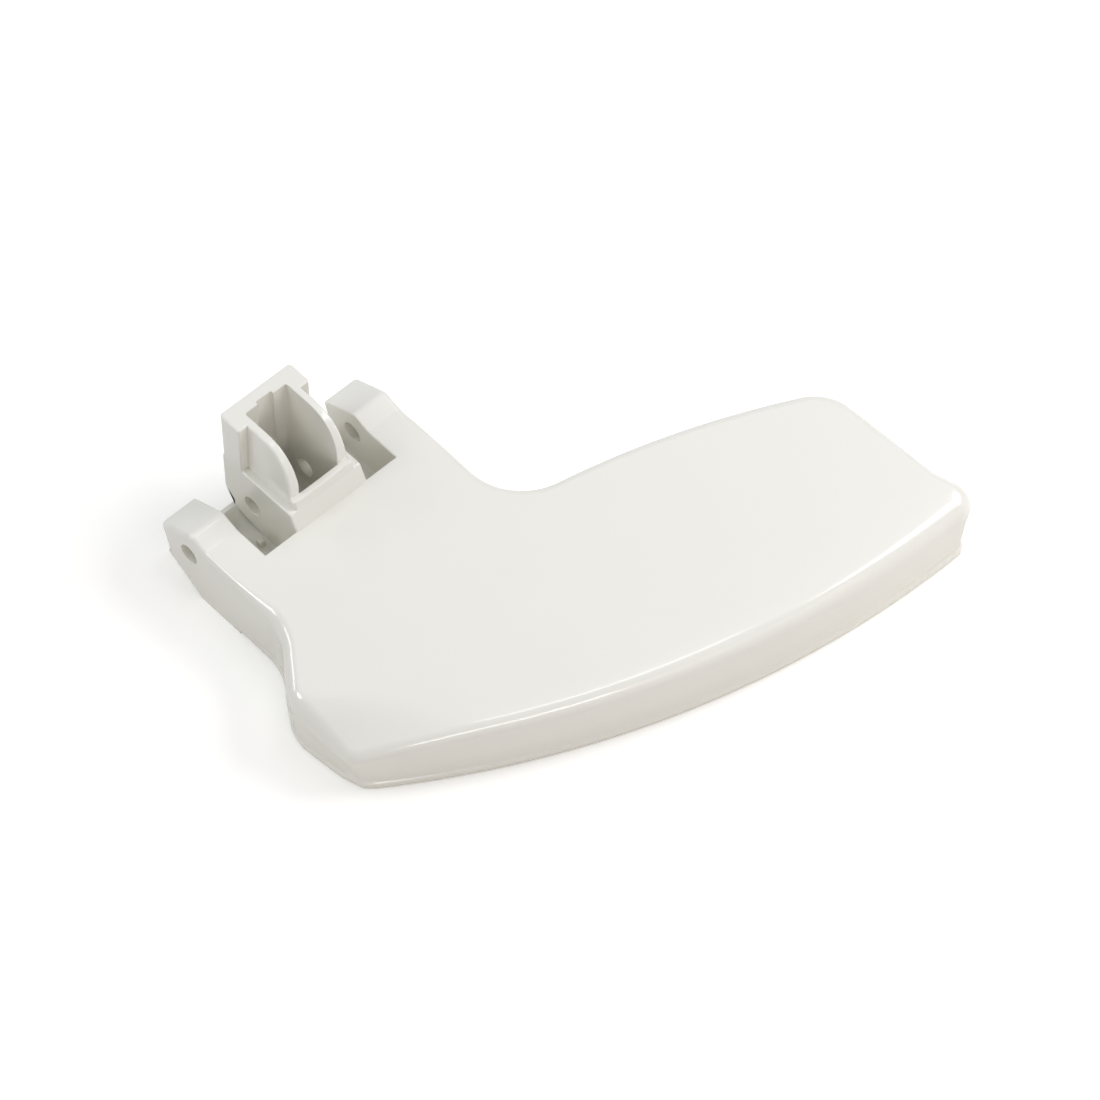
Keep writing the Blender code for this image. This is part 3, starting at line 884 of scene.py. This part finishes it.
@dataclass
class Underside:
    """The stiffening ribs in the hollow, which stay near its ceiling."""

    shell: PullShell
    box: "LatchBox"
    rib_thickness: float = 1.6
    rib_count: int = 7
    rib_first_x: float = -18.0
    rib_last_x: float = 80.0
    ring_inset: float = 21.0
    ring_from: float = math.radians(-140.0)
    ring_to: float = math.radians(-65.0)
    ring_steps: int = 90
    tab_rib_reach: float = 37.5

    def block(self, name: str, low: Sequence[float], high: Sequence[float]) -> bpy.types.Object:
        """Make a block between two corners, as a plate along z."""
        outline = [Knee(low[0], low[1]), Knee(high[0], low[1]), Knee(high[0], high[1]), Knee(low[0], high[1])]
        return Plate(name, outline, Axis.Z, low[2], high[2]).build()

    def radial(self, index: int) -> bpy.types.Object:
        """Make one of the ribs that point at the front arc's centre.

        Args:
            index: Its number, from the left.

        Returns:
            The rib, longer than the hollow.
        """
        plan = self.shell.plan
        half = self.rib_thickness / 2
        low = (-half, -plan.front_radius - plan.wall, self.shell.rib_foot / 2)
        high = (half, 0.0, self.shell.body_height)
        rib = self.block(f"rib_{index}", low, high)
        first = math.atan2(self.rib_first_x - plan.front_centre.x, plan.front_radius)
        last = math.atan2(self.rib_last_x - plan.front_centre.x, plan.front_radius)
        turn = first + (last - first) * index / (self.rib_count - 1)
        rib.data.transform(Matrix.Translation((*plan.front_centre, 0.0)) @ Matrix.Rotation(turn, 4, "Z"))
        return rib

    def ring(self) -> bpy.types.Object:
        """Make the rib that follows the front edge.

        Returns:
            The rib, longer than the hollow.
        """
        plan = self.shell.plan
        low, high = self.shell.rib_foot / 2, self.shell.body_height
        bm = bmesh.new()
        rows = []
        for i in range(self.ring_steps + 1):
            turn = self.ring_from + (self.ring_to - self.ring_from) * i / self.ring_steps
            ray = Vector((math.cos(turn), math.sin(turn)))
            row = []
            for side, z in ((-0.5, low), (0.5, low), (0.5, high), (-0.5, high)):
                radius = plan.front_radius - self.ring_inset + side * self.rib_thickness
                place = plan.front_centre + radius * ray
                row.append(bm.verts.new((place.x, place.y, z)))
            rows.append(row)
        for a, b in zip(rows, rows[1:]):
            for k in range(4):
                bm.faces.new((a[k], a[(k + 1) % 4], b[(k + 1) % 4], b[k]))
        bm.faces.new(rows[0])
        bm.faces.new(rows[-1])
        return MeshKit.finish(bm, "ring_rib")

    def along_tab(self, side: int) -> bpy.types.Object:
        """Make one of the two ribs that run along the tab, in line with the latch box's sides.

        Args:
            side: -1 for the left rib and 1 for the right one.

        Returns:
            The rib, longer than the hollow.
        """
        half = self.rib_thickness / 2
        middle = side * (self.box.width / 2 - half)
        low = (middle - half, -self.tab_rib_reach, self.shell.rib_foot / 2)
        high = (middle + half, 0.0, self.shell.body_height)
        return self.block(f"tab_rib_{side}", low, high)

    def build(self, handle: bpy.types.Object) -> None:
        """Add every rib to the handle.

        Args:
            handle: The shell, which gets the ribs.
        """
        ribs = [self.radial(i) for i in range(self.rib_count)]
        ribs += [self.ring(), self.along_tab(-1), self.along_tab(1)]
        for rib in ribs:
            MeshKit.join(rib, self.shell.build_core(), Join.CLIP)
            MeshKit.join(handle, rib, Join.ADD)
        log.info("ribs joined: %d", len(ribs))


@dataclass
class HingeTab:
    """The hinge end: two ears for the pin and a scooped floor in the spring notches."""

    shell: PullShell
    pin_y: float = 12.75
    pin_z: float = 11.75
    pin_diameter: float = 4.4
    bore_segments: int = 64
    bore_over: float = 5.0
    ear_width: float = 8.45
    ear_back: tuple[float, float] = (20.9, 13.9)
    ear_ridge: tuple[float, float] = (12.2, 18.1)
    ear_ramp_y: float = 8.0
    ear_nose: tuple[float, float] = (19.2, 7.0)
    ear_foot_y: float = 9.5
    ear_edge: float = 1.0
    ear_inner_edge: float = 0.3
    nose_round: float = 3.0
    back_round: float = 1.0
    ridge_round: float = 1.9
    ramp_round: float = 1.4
    scoop_radius: float = 7.0
    scoop_step: float = math.radians(5.0)
    lip_y: float = 18.9
    lip_z: float = 7.0
    lip_underside_z: float = 6.3
    root: float = 1.2
    seam: float = 0.003
    peg: tuple[float, float, float] = (-10.6, 9.0, 1.4)
    peg_height: float = 1.5
    peg_root: float = 1.0
    peg_round: float = 0.3
    peg_tip_round: float = 0.25

    def ear(self, side: int) -> bpy.types.Object:
        """Build one ear.

        Args:
            side: -1 for the left ear and 1 for the right one.

        Returns:
            The ear, rounded along its outer edge.
        """
        top = self.shell.body_height - self.seam
        outline = [
            Knee(-self.root, 0.0, rounded=False),
            Knee(self.ear_foot_y, 0.0, rounded=False),
            Knee(*self.ear_nose, self.nose_round),
            Knee(*self.ear_back, self.back_round),
            Knee(*self.ear_ridge, self.ridge_round),
            Knee(self.ear_ramp_y, top, self.ramp_round),
            Knee(-self.root, top, rounded=False),
        ]
        half = self.shell.plan.tab_width / 2 - self.seam
        inner = half - self.ear_width
        low, high = (inner, half) if side > 0 else (-half, -inner)
        rounds = (self.ear_inner_edge, self.ear_edge) if side > 0 else (self.ear_edge, self.ear_inner_edge)
        return Plate(f"ear_{side}", outline, Axis.X, low, high, *rounds).build()

    def web(self) -> bpy.types.Object:
        """Build the web under the notches, scooped round the pin, with a back lip.

        Returns:
            The web.
        """
        low = Vector((self.pin_y, self.pin_z - self.scoop_radius))
        rise = self.pin_z - self.lip_z
        high = Vector((self.pin_y + math.sqrt(self.scoop_radius**2 - rise**2), self.lip_z))
        arc = sweep(Vector((self.pin_y, self.pin_z)), high, low, self.scoop_step)
        outline = [
            Knee(-self.root, 0.0),
            Knee(self.ear_foot_y, 0.0),
            Knee(self.lip_y, self.lip_underside_z),
            Knee(self.lip_y, self.lip_z),
            *[Knee(*point) for point in (high, *arc, low)],
            Knee(-self.root, self.pin_z - self.scoop_radius),
        ]
        half = self.shell.plan.tab_width / 2 - 2 * self.seam
        return Plate("web", outline, Axis.X, -half, half).build()

    def spring_peg(self) -> bpy.types.Object:
        """Build the small peg that holds the spring's end on the left notch's floor.

        Returns:
            The peg, with its root in the floor.
        """
        x, y, size = self.peg
        half = size / 2
        signs = ((-1, -1), (1, -1), (1, 1), (-1, 1))
        outline = [Knee(x + a * half, y + b * half, self.peg_round) for a, b in signs]
        floor = self.pin_z - self.scoop_radius
        low, high = floor - self.peg_root, floor + self.peg_height
        return Plate("spring_peg", outline, Axis.Z, low, high, 0.0, self.peg_tip_round).build()

    def bore(self) -> bpy.types.Object:
        """Build the round bar that cuts the pin's bore.

        Returns:
            The bar, longer than the tab is wide.
        """
        bm = bmesh.new()
        bmesh.ops.create_cone(
            bm,
            cap_ends=True,
            segments=self.bore_segments,
            radius1=self.pin_diameter / 2,
            radius2=self.pin_diameter / 2,
            depth=self.shell.plan.tab_width + self.bore_over,
            matrix=Matrix.Translation((0.0, self.pin_y, self.pin_z)) @ Matrix.Rotation(math.pi / 2, 4, "Y"),
        )
        return MeshKit.finish(bm, "pin_bore")

    def build(self, handle: bpy.types.Object) -> None:
        """Add the web and the ears to the handle.

        Args:
            handle: The shell with its ribs.
        """
        for piece in (self.web(), self.ear(-1), self.ear(1)):
            MeshKit.join(handle, piece, Join.ADD)
        log.info("hinge ears and web joined")


@dataclass
class LatchBox:
    """The open box between the ears that takes the latch hook's end."""

    shell: PullShell
    width: float = 17.8
    top: float = 33.3
    back: float = 20.9
    chamfer: tuple[float, float, float] = (18.5, 8.3, 10.9)
    ledge: tuple[float, float] = (1.5, 20.5)
    ledge_round: float = 0.6
    chamfer_round: float = 0.5
    pillar_front: float = 15.3
    pillar_front_round: float = 0.45
    pillar_back_round: float = 0.9
    flank_recess: float = 1.5
    flank_draft: float = 0.7
    lip: tuple[float, float] = (1.85, 22.4)
    lip_wall: float = 1.5
    lip_round: float = 0.55
    lip_bevel: float = 0.01
    shoulder_y: float = 12.0
    curve_steps: int = 28
    curve_power: float = 0.85
    cheek_set_back: float = 0.6
    cheek_overlap: float = 0.5
    cavity_width: float = 10.6
    cavity_floor_width: float = 8.8
    cavity_back: float = 17.7
    cavity_floor: float = 7.5
    cavity_round: float = 0.5
    key_width: float = 3.8
    key_depth: float = 0.7
    key_round: float = 0.3
    edge: float = 0.35
    rim: float = 0.5
    over: float = 5.0
    lip_underside_z: float = 6.6
    root: float = 1.2

    def base(self) -> bpy.types.Object:
        """Build the block under the ledge.

        Returns:
            The block, with its root in the tab.
        """
        chamfer_y, chamfer_low, chamfer_high = self.chamfer
        outline = [
            Knee(-self.root, self.shell.plan.wall, rounded=False),
            Knee(chamfer_y, self.lip_underside_z),
            Knee(chamfer_y, chamfer_low, self.chamfer_round),
            Knee(self.back, chamfer_high, self.chamfer_round),
            Knee(self.back, self.ledge[1]),
            Knee(*self.ledge, self.ledge_round),
            Knee(-self.root, self.shell.body_height - 2 * self.root, rounded=False),
        ]
        half = self.width / 2
        return Plate("box_base", outline, Axis.X, -half, half, self.edge, self.edge).build()

    def root_z(self) -> float:
        """Give the height in the base where the walls above it are rooted."""
        return self.ledge[1] - self.shell.plan.wall

    def pillar(self) -> bpy.types.Object:
        """Build the upright at the back, with its corners and top edge rounded.

        Returns:
            The upright.
        """
        half = self.width / 2
        outline = [
            Knee(-half, self.pillar_front, self.pillar_front_round),
            Knee(half, self.pillar_front, self.pillar_front_round),
            Knee(half, self.back, self.pillar_back_round),
            Knee(-half, self.back, self.pillar_back_round),
        ]
        return Plate("pillar", outline, Axis.Z, self.root_z(), self.top, 0.0, self.edge).build()

    def cheek_edge(self) -> list[Knee]:
        """Draw the cheek's curved edge from the flat top down to the front lip.

        Returns:
            The corners along the curve.
        """
        lip_back = self.lip[0] + self.lip_wall
        across = self.shoulder_y - lip_back
        up = self.top - self.lip[1]
        curve = []
        for i in range(self.curve_steps, 0, -1):
            turn = math.pi / 2 * i / self.curve_steps
            y = self.shoulder_y - across * math.cos(turn) ** self.curve_power
            curve.append(Knee(y, self.lip[1] + up * math.sin(turn) ** self.curve_power))
        return curve

    def cheek(self, side: int) -> bpy.types.Object:
        """Build one side wall of the open box, leaning in towards its top.

        Args:
            side: -1 for the left wall and 1 for the right one.

        Returns:
            The wall, rounded along both rims.
        """
        lip_y, lip_z = self.lip
        back = self.back - self.shell.plan.wall
        outline = [
            Knee(self.ledge[0] + self.cheek_set_back, self.root_z(), rounded=False),
            Knee(back, self.root_z(), rounded=False),
            Knee(back, self.top),
            *self.cheek_edge(),
            Knee(lip_y + self.lip_wall, lip_z),
            Knee(lip_y + self.lip_bevel, lip_z - self.lip_bevel),
            Knee(*self.ledge),
        ]
        outer = self.width / 2 - self.flank_recess
        inner = self.cavity_width / 2 - self.cheek_overlap
        low, high = (inner, outer) if side > 0 else (-outer, -inner)
        wall = Plate(f"cheek_{side}", outline, Axis.X, low, high, self.rim, self.rim).build()
        self.lean_in(wall)
        return wall

    def lean_in(self, wall: bpy.types.Object) -> None:
        """Draft a wall, so that it leans towards the middle between the ledge and the top.

        Args:
            wall: The wall, which changes.
        """
        for vertex in wall.data.vertices:
            share = clamp((vertex.co.z - self.ledge[1]) / (self.top - self.ledge[1]))
            vertex.co.x -= math.copysign(self.flank_draft * share, vertex.co.x)

    def front_lip(self) -> bpy.types.Object:
        """Build the low wall between the cheeks at the front.

        Returns:
            The wall.
        """
        lip_y, lip_z = self.lip
        outline = [
            Knee(self.ledge[0], self.root_z(), rounded=False),
            Knee(lip_y + self.lip_wall, self.root_z(), rounded=False),
            Knee(lip_y + self.lip_wall, lip_z, self.lip_round),
            Knee(lip_y, lip_z, self.lip_round),
            Knee(*self.ledge),
        ]
        half = self.width / 2 - self.flank_recess
        return Plate("front_lip", outline, Axis.X, -half, half, self.rim, self.rim).build()

    def cavity(self) -> bpy.types.Object:
        """Build the block that cuts the hollow, narrowing downwards.

        Returns:
            The block.
        """
        half = self.cavity_width / 2
        front, back = self.lip[0] + self.lip_wall, self.cavity_back
        corners = ((-half, front), (half, front), (half, back), (-half, back))
        outline = [Knee(*corner, self.cavity_round) for corner in corners]
        hollow = Plate("cavity", outline, Axis.Z, self.cavity_floor, self.top + self.over).build()
        narrowing = (self.cavity_width - self.cavity_floor_width) / self.cavity_width
        for vertex in hollow.data.vertices:
            if vertex.co.z < self.top:
                vertex.co.x *= 1.0 - narrowing
        return hollow

    def key_groove(self) -> bpy.types.Object:
        """Build the block that cuts the groove in the hollow's back wall.

        Returns:
            The block.
        """
        half = self.key_width / 2
        low, high = self.cavity_back - self.key_depth, self.cavity_back + self.key_depth
        back = [Knee(half, high, self.key_round), Knee(-half, high, self.key_round)]
        outline = [Knee(-half, low), Knee(half, low), *back]
        return Plate("key_groove", outline, Axis.Z, self.root_z(), self.top + self.over).build()

    def build(self, handle: bpy.types.Object) -> None:
        """Add the box to the handle and cut its hollow.

        Args:
            handle: The shell with its ribs and hinge end.
        """
        pieces = (self.base(), self.pillar(), self.cheek(-1), self.cheek(1), self.front_lip())
        for piece in pieces:
            MeshKit.join(handle, piece, Join.ADD)
        for cutter in (self.cavity(), self.key_groove()):
            MeshKit.join(handle, cutter, Join.CUT)
        log.info("latch box joined")


@dataclass(frozen=True)
class GlossPlastic:
    """Glossy warm white moulded plastic with a fine orange peel, slight handling marks and painted shade in
    its hollows.

    Its lengths are in metres.
    """

    name: str = SLOT
    colour: tuple[float, float, float] = (0.80, 0.797, 0.766)
    painted_shade_colour: tuple[float, float, float] = (0.79, 0.775, 0.70)
    painted_shade_reach: float = 0.012
    painted_shade_samples: int = 8
    mottle_share: float = 0.965
    mottle_scale: float = 38.0
    mottle_detail: float = 4.0
    refraction: float = 1.5
    roughness: float = 0.17
    roughness_spread: float = 0.05
    smear_scale: float = 90.0
    smear_detail: float = 6.0
    smear_roughness: float = 0.65
    coat: float = 0.6
    coat_roughness: float = 0.05
    peel_scale: float = 900.0
    peel_detail: float = 2.0
    peel_height: float = 0.000004
    edge_radius: float = 0.00035
    edge_samples: int = 6

    def noise(
        self, tree: bpy.types.NodeTree, scale: float, detail: float, roughness: float = 0.5
    ) -> bpy.types.NodeSocket:
        """Add a noise that stays with the object.

        Args:
            tree: The material's nodes.
            scale: How fine the noise is.
            detail: Its count of finer layers.
            roughness: How strong these are.

        Returns:
            The noise's value.
        """
        place = tree.nodes.new("ShaderNodeTexCoord")
        noise = tree.nodes.new("ShaderNodeTexNoise")
        noise.inputs["Scale"].default_value = scale
        noise.inputs["Detail"].default_value = detail
        noise.inputs["Roughness"].default_value = roughness
        tree.links.new(place.outputs["Object"], noise.inputs["Vector"])
        return noise.outputs["Fac"]

    def tint(self, tree: bpy.types.NodeTree) -> bpy.types.NodeSocket:
        """Make the colour: faintly mottled, with painted shade, a warmer and slightly darker tone, in the
        moulding's hollows and creases.

        Args:
            tree: The material's nodes.

        Returns:
            The colour.
        """
        mottle = tree.nodes.new("ShaderNodeMix")
        mottle.data_type = "RGBA"
        mottle.inputs["A"].default_value = (*self.colour, 1.0)
        mottle.inputs["B"].default_value = (*[c * self.mottle_share for c in self.colour], 1.0)
        value = self.noise(tree, self.mottle_scale, self.mottle_detail)
        tree.links.new(value, mottle.inputs["Factor"])
        # Painted shade: an ambient occlusion mask mixes a warmer, darker tone into hollows and creases.
        painted_shade_mask = tree.nodes.new("ShaderNodeAmbientOcclusion")
        painted_shade_mask.samples = self.painted_shade_samples
        painted_shade_mask.inputs["Distance"].default_value = self.painted_shade_reach
        painted_shade_mix = tree.nodes.new("ShaderNodeMix")
        painted_shade_mix.data_type = "RGBA"
        painted_shade_mix.inputs["A"].default_value = (*self.painted_shade_colour, 1.0)
        tree.links.new(painted_shade_mask.outputs["AO"], painted_shade_mix.inputs["Factor"])
        tree.links.new(mottle.outputs["Result"], painted_shade_mix.inputs["B"])
        return painted_shade_mix.outputs["Result"]

    def smear(self, tree: bpy.types.NodeTree) -> bpy.types.NodeSocket:
        """Make the roughness, which handling has changed a little from place to place.

        Args:
            tree: The material's nodes.

        Returns:
            The roughness.
        """
        spread = tree.nodes.new("ShaderNodeMapRange")
        spread.inputs["To Min"].default_value = self.roughness - self.roughness_spread / 2
        spread.inputs["To Max"].default_value = self.roughness + self.roughness_spread / 2
        value = self.noise(tree, self.smear_scale, self.smear_detail, self.smear_roughness)
        tree.links.new(value, spread.inputs["Value"])
        return spread.outputs["Result"]

    def peel(self, tree: bpy.types.NodeTree, normal: bpy.types.NodeSocket) -> bpy.types.NodeSocket:
        """Make the fine orange peel that the mould leaves.

        Args:
            tree: The material's nodes.
            normal: The surface's direction without it.

        Returns:
            The direction with it.
        """
        bump = tree.nodes.new("ShaderNodeBump")
        bump.inputs["Distance"].default_value = self.peel_height
        tree.links.new(self.noise(tree, self.peel_scale, self.peel_detail), bump.inputs["Height"])
        tree.links.new(normal, bump.inputs["Normal"])
        return bump.outputs["Normal"]

    def build(self) -> bpy.types.Material:
        """Make the node material.

        Returns:
            The material.
        """
        material = bpy.data.materials.new(self.name)
        material.use_nodes = True
        tree = material.node_tree
        shader = tree.nodes["Principled BSDF"]
        shader.inputs["Metallic"].default_value = 0.0
        shader.inputs["IOR"].default_value = self.refraction
        shader.inputs["Coat Weight"].default_value = self.coat
        shader.inputs["Coat Roughness"].default_value = self.coat_roughness
        edge = tree.nodes.new("ShaderNodeBevel")
        edge.samples = self.edge_samples
        edge.inputs["Radius"].default_value = self.edge_radius
        tree.links.new(self.tint(tree), shader.inputs["Base Color"])
        tree.links.new(self.smear(tree), shader.inputs["Roughness"])
        tree.links.new(self.peel(tree, edge.outputs["Normal"]), shader.inputs["Normal"])
        tree.links.new(edge.outputs["Normal"], shader.inputs["Coat Normal"])
        return material


@dataclass
class DoorHandle:
    """The whole moulding: shell, ribs, hinge end and latch box joined into one piece."""

    shell: PullShell
    underside: Underside
    tab: HingeTab
    box: LatchBox
    finish: GlossPlastic
    sharp_angle: float = math.radians(32.0)
    normal_weight: int = 60

    def settle(self, handle: bpy.types.Object) -> None:
        """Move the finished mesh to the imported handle's place and to metres.

        Args:
            handle: The finished piece.
        """
        low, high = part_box(NODE)
        places = [vertex.co for vertex in handle.data.vertices]
        middle_x = (min(p.x for p in places) + max(p.x for p in places)) / 2
        middle_y = (min(p.y for p in places) + max(p.y for p in places)) / 2
        goal = (low + high) / 2
        shift = Matrix.Translation((goal.x - middle_x * MM, goal.y - middle_y * MM, 0.0))
        handle.data.transform(shift @ Matrix.Scale(MM, 4))

    def dress(self, handle: bpy.types.Object) -> None:
        """Smooth the mesh, keep its crisp edges and give it its finish.

        Args:
            handle: The finished piece.
        """
        handle.data.materials.clear()
        handle.data.materials.append(self.finish.build())
        handle.data.shade_smooth()
        handle.data.set_sharp_from_angle(angle=self.sharp_angle)
        even = handle.modifiers.new("even_normals", "WEIGHTED_NORMAL")
        even.keep_sharp = True
        even.weight = self.normal_weight
        MeshKit.apply(handle)

    def build(self) -> None:
        """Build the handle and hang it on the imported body."""
        handle = self.shell.build()
        log.info("pull shell: %d faces", len(handle.data.polygons))
        self.underside.build(handle)
        self.tab.build(handle)
        self.box.build(handle)
        MeshKit.join(handle, self.tab.spring_peg(), Join.ADD)
        MeshKit.join(handle, self.tab.bore(), Join.CUT)
        self.settle(handle)
        self.dress(handle)
        handle.name = "moulded_handle"
        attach(handle, BODY)
        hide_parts(NODE)
        log.info("moulded handle: %d faces", len(handle.data.polygons))


@dataclass(frozen=True)
class Lamp:
    """One soft rectangular studio light, hung at a compass direction and a height angle."""

    name: str
    azimuth: float
    elevation: float
    distance: float
    width: float
    height: float
    radiance: float
    colour: tuple[float, float, float] = (1.0, 1.0, 1.0)
    roll: float = 0.0

    def build(self) -> None:
        """Hang the light and turn it to the handle."""
        light = bpy.data.lights.new(self.name, "AREA")
        light.shape = "RECTANGLE"
        light.size, light.size_y = self.width, self.height
        light.energy = self.radiance * math.pi * self.width * self.height
        light.color = self.colour
        around, up = math.radians(self.azimuth), math.radians(self.elevation)
        ray = Vector((math.cos(around) * math.cos(up), math.sin(around) * math.cos(up), math.sin(up)))
        thing = bpy.data.objects.new(self.name, light)
        thing.location = ray * self.distance
        turn = (-ray).to_track_quat("-Z", "Y") @ Quaternion((0.0, 0.0, 1.0), math.radians(self.roll))
        thing.rotation_euler = turn.to_euler()
        bpy.context.scene.collection.objects.link(thing)


@dataclass
class Studio:
    """The white table, the lights and the camera."""

    floor_size: float = 6.0
    floor_colour: tuple[float, float, float] = (0.95, 0.95, 0.95)
    bounce_colour: tuple[float, float, float] = (0.86, 0.84, 0.81)
    floor_roughness: float = 0.45
    floor_glow: float = 0.18
    ambient: float = 0.29
    lamps: tuple[Lamp, ...] = (
        Lamp("overhead_softbox", 40.0, 66.0, 1.30, 1.50, 1.10, 0.3),
        Lamp("right_softbox", -30.0, 45.0, 0.55, 0.30, 0.30, 5.5, (1.0, 0.99, 0.97)),
        Lamp("front_strip", -116.0, 24.0, 1.10, 0.75, 0.10, 8.0, (1.0, 0.95, 0.91), 35.0),
        Lamp("upper_strip", -18.0, 80.0, 1.20, 0.35, 0.10, 6.0, (1.0, 1.0, 1.0), 108.0),
        Lamp("warm_fill", -88.0, 30.0, 1.20, 0.70, 0.30, 1.0, (1.0, 0.72, 0.60)),
        Lamp("left_back_softbox", 150.0, 46.0, 1.00, 0.34, 0.30, 6.5, (0.98, 1.0, 0.97)),
        Lamp("back_strip", 108.0, 33.0, 1.00, 0.45, 0.14, 6.0),
    )
    lens: float = 180.0
    sensor: float = 36.0
    near_clip: float = 0.05
    elevation: float = math.radians(55.439)
    azimuth: float = math.radians(42.888)
    roll: float = math.radians(-0.276)
    across: float = -41.404
    upward: float = 8.331
    distance: float = 1041.69
    frame_shift: tuple[float, float, float] = (-28.353, 30.7, 16.5)

    def floor(self) -> None:
        """Lay the white table, which keeps the handle's shadow."""
        bpy.ops.mesh.primitive_plane_add(size=self.floor_size, location=(0.0, 0.0, 0.0))
        floor = bpy.context.active_object
        floor.name = "table"
        material = bpy.data.materials.new("white_table")
        material.use_nodes = True
        nodes, links = material.node_tree.nodes, material.node_tree.links
        shader = nodes["Principled BSDF"]
        shader.inputs["Roughness"].default_value = self.floor_roughness
        shader.inputs["Emission Color"].default_value = (1.0, 1.0, 1.0, 1.0)
        path = nodes.new("ShaderNodeLightPath")
        glow = nodes.new("ShaderNodeMath")
        glow.operation = "MULTIPLY"
        glow.inputs[1].default_value = self.floor_glow
        links.new(path.outputs["Is Camera Ray"], glow.inputs[0])
        links.new(glow.outputs["Value"], shader.inputs["Emission Strength"])
        tone = nodes.new("ShaderNodeMix")
        tone.data_type = "RGBA"
        tone.inputs["A"].default_value = (*self.bounce_colour, 1.0)
        tone.inputs["B"].default_value = (*self.floor_colour, 1.0)
        links.new(path.outputs["Is Camera Ray"], tone.inputs["Factor"])
        links.new(tone.outputs["Result"], shader.inputs["Base Color"])
        floor.data.materials.append(material)

    def world(self) -> None:
        """Set a white backdrop for what looks at it and a soft even light for the rest."""
        world = bpy.data.worlds.new("white_studio")
        world.use_nodes = True
        nodes, links = world.node_tree.nodes, world.node_tree.links
        path = nodes.new("ShaderNodeLightPath")
        seen = nodes.new("ShaderNodeMath")
        seen.operation = "MAXIMUM"
        links.new(path.outputs["Is Camera Ray"], seen.inputs[0])
        links.new(path.outputs["Is Glossy Ray"], seen.inputs[1])
        either = nodes.new("ShaderNodeMath")
        either.operation = "MAXIMUM"
        links.new(seen.outputs["Value"], either.inputs[0])
        links.new(path.outputs["Is Transmission Ray"], either.inputs[1])
        level = nodes.new("ShaderNodeMapRange")
        level.inputs["To Min"].default_value = self.ambient
        level.inputs["To Max"].default_value = 1.0
        links.new(either.outputs["Value"], level.inputs["Value"])
        links.new(level.outputs["Result"], nodes["Background"].inputs["Strength"])
        nodes["Background"].inputs["Color"].default_value = (1.0, 1.0, 1.0, 1.0)
        bpy.context.scene.world = world

    def camera(self) -> None:
        """Place the camera at the photograph's viewpoint."""
        e, a = self.elevation, self.azimuth
        back = Vector((-math.sin(a) * math.cos(e), -math.cos(a) * math.cos(e), math.sin(e)))
        right = Vector((math.cos(a), -math.sin(a), 0.0))
        up = back.cross(right)
        c, s = math.cos(self.roll), math.sin(self.roll)
        right, up = c * right + s * up, -s * right + c * up
        place = -self.across * right - self.upward * up + self.distance * back + Vector(self.frame_shift)
        data = bpy.data.cameras.new("view")
        data.lens = self.lens
        data.sensor_width = self.sensor
        data.clip_start = self.near_clip
        camera = bpy.data.objects.new("view", data)
        turn = Matrix((right, up, back)).transposed().to_4x4()
        camera.matrix_world = Matrix.Translation(place * MM) @ turn
        bpy.context.scene.collection.objects.link(camera)
        bpy.context.scene.camera = camera

    def build(self) -> None:
        """Set the whole studio."""
        self.floor()
        self.world()
        for lamp in self.lamps:
            lamp.build()
        self.camera()
        bpy.context.scene.view_settings.view_transform = "Standard"
        log.info("studio set")


def main() -> None:
    """Build the handle and its studio, logging face counts as the handle is built."""
    logging.basicConfig(level=logging.INFO, format="%(name)s: %(message)s")
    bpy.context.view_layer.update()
    shell = PullShell(LeverPlan())
    box = LatchBox(shell)
    DoorHandle(shell, Underside(shell, box), HingeTab(shell), box, GlossPlastic()).build()
    Studio().build()


if __name__ == "__main__":
    main()
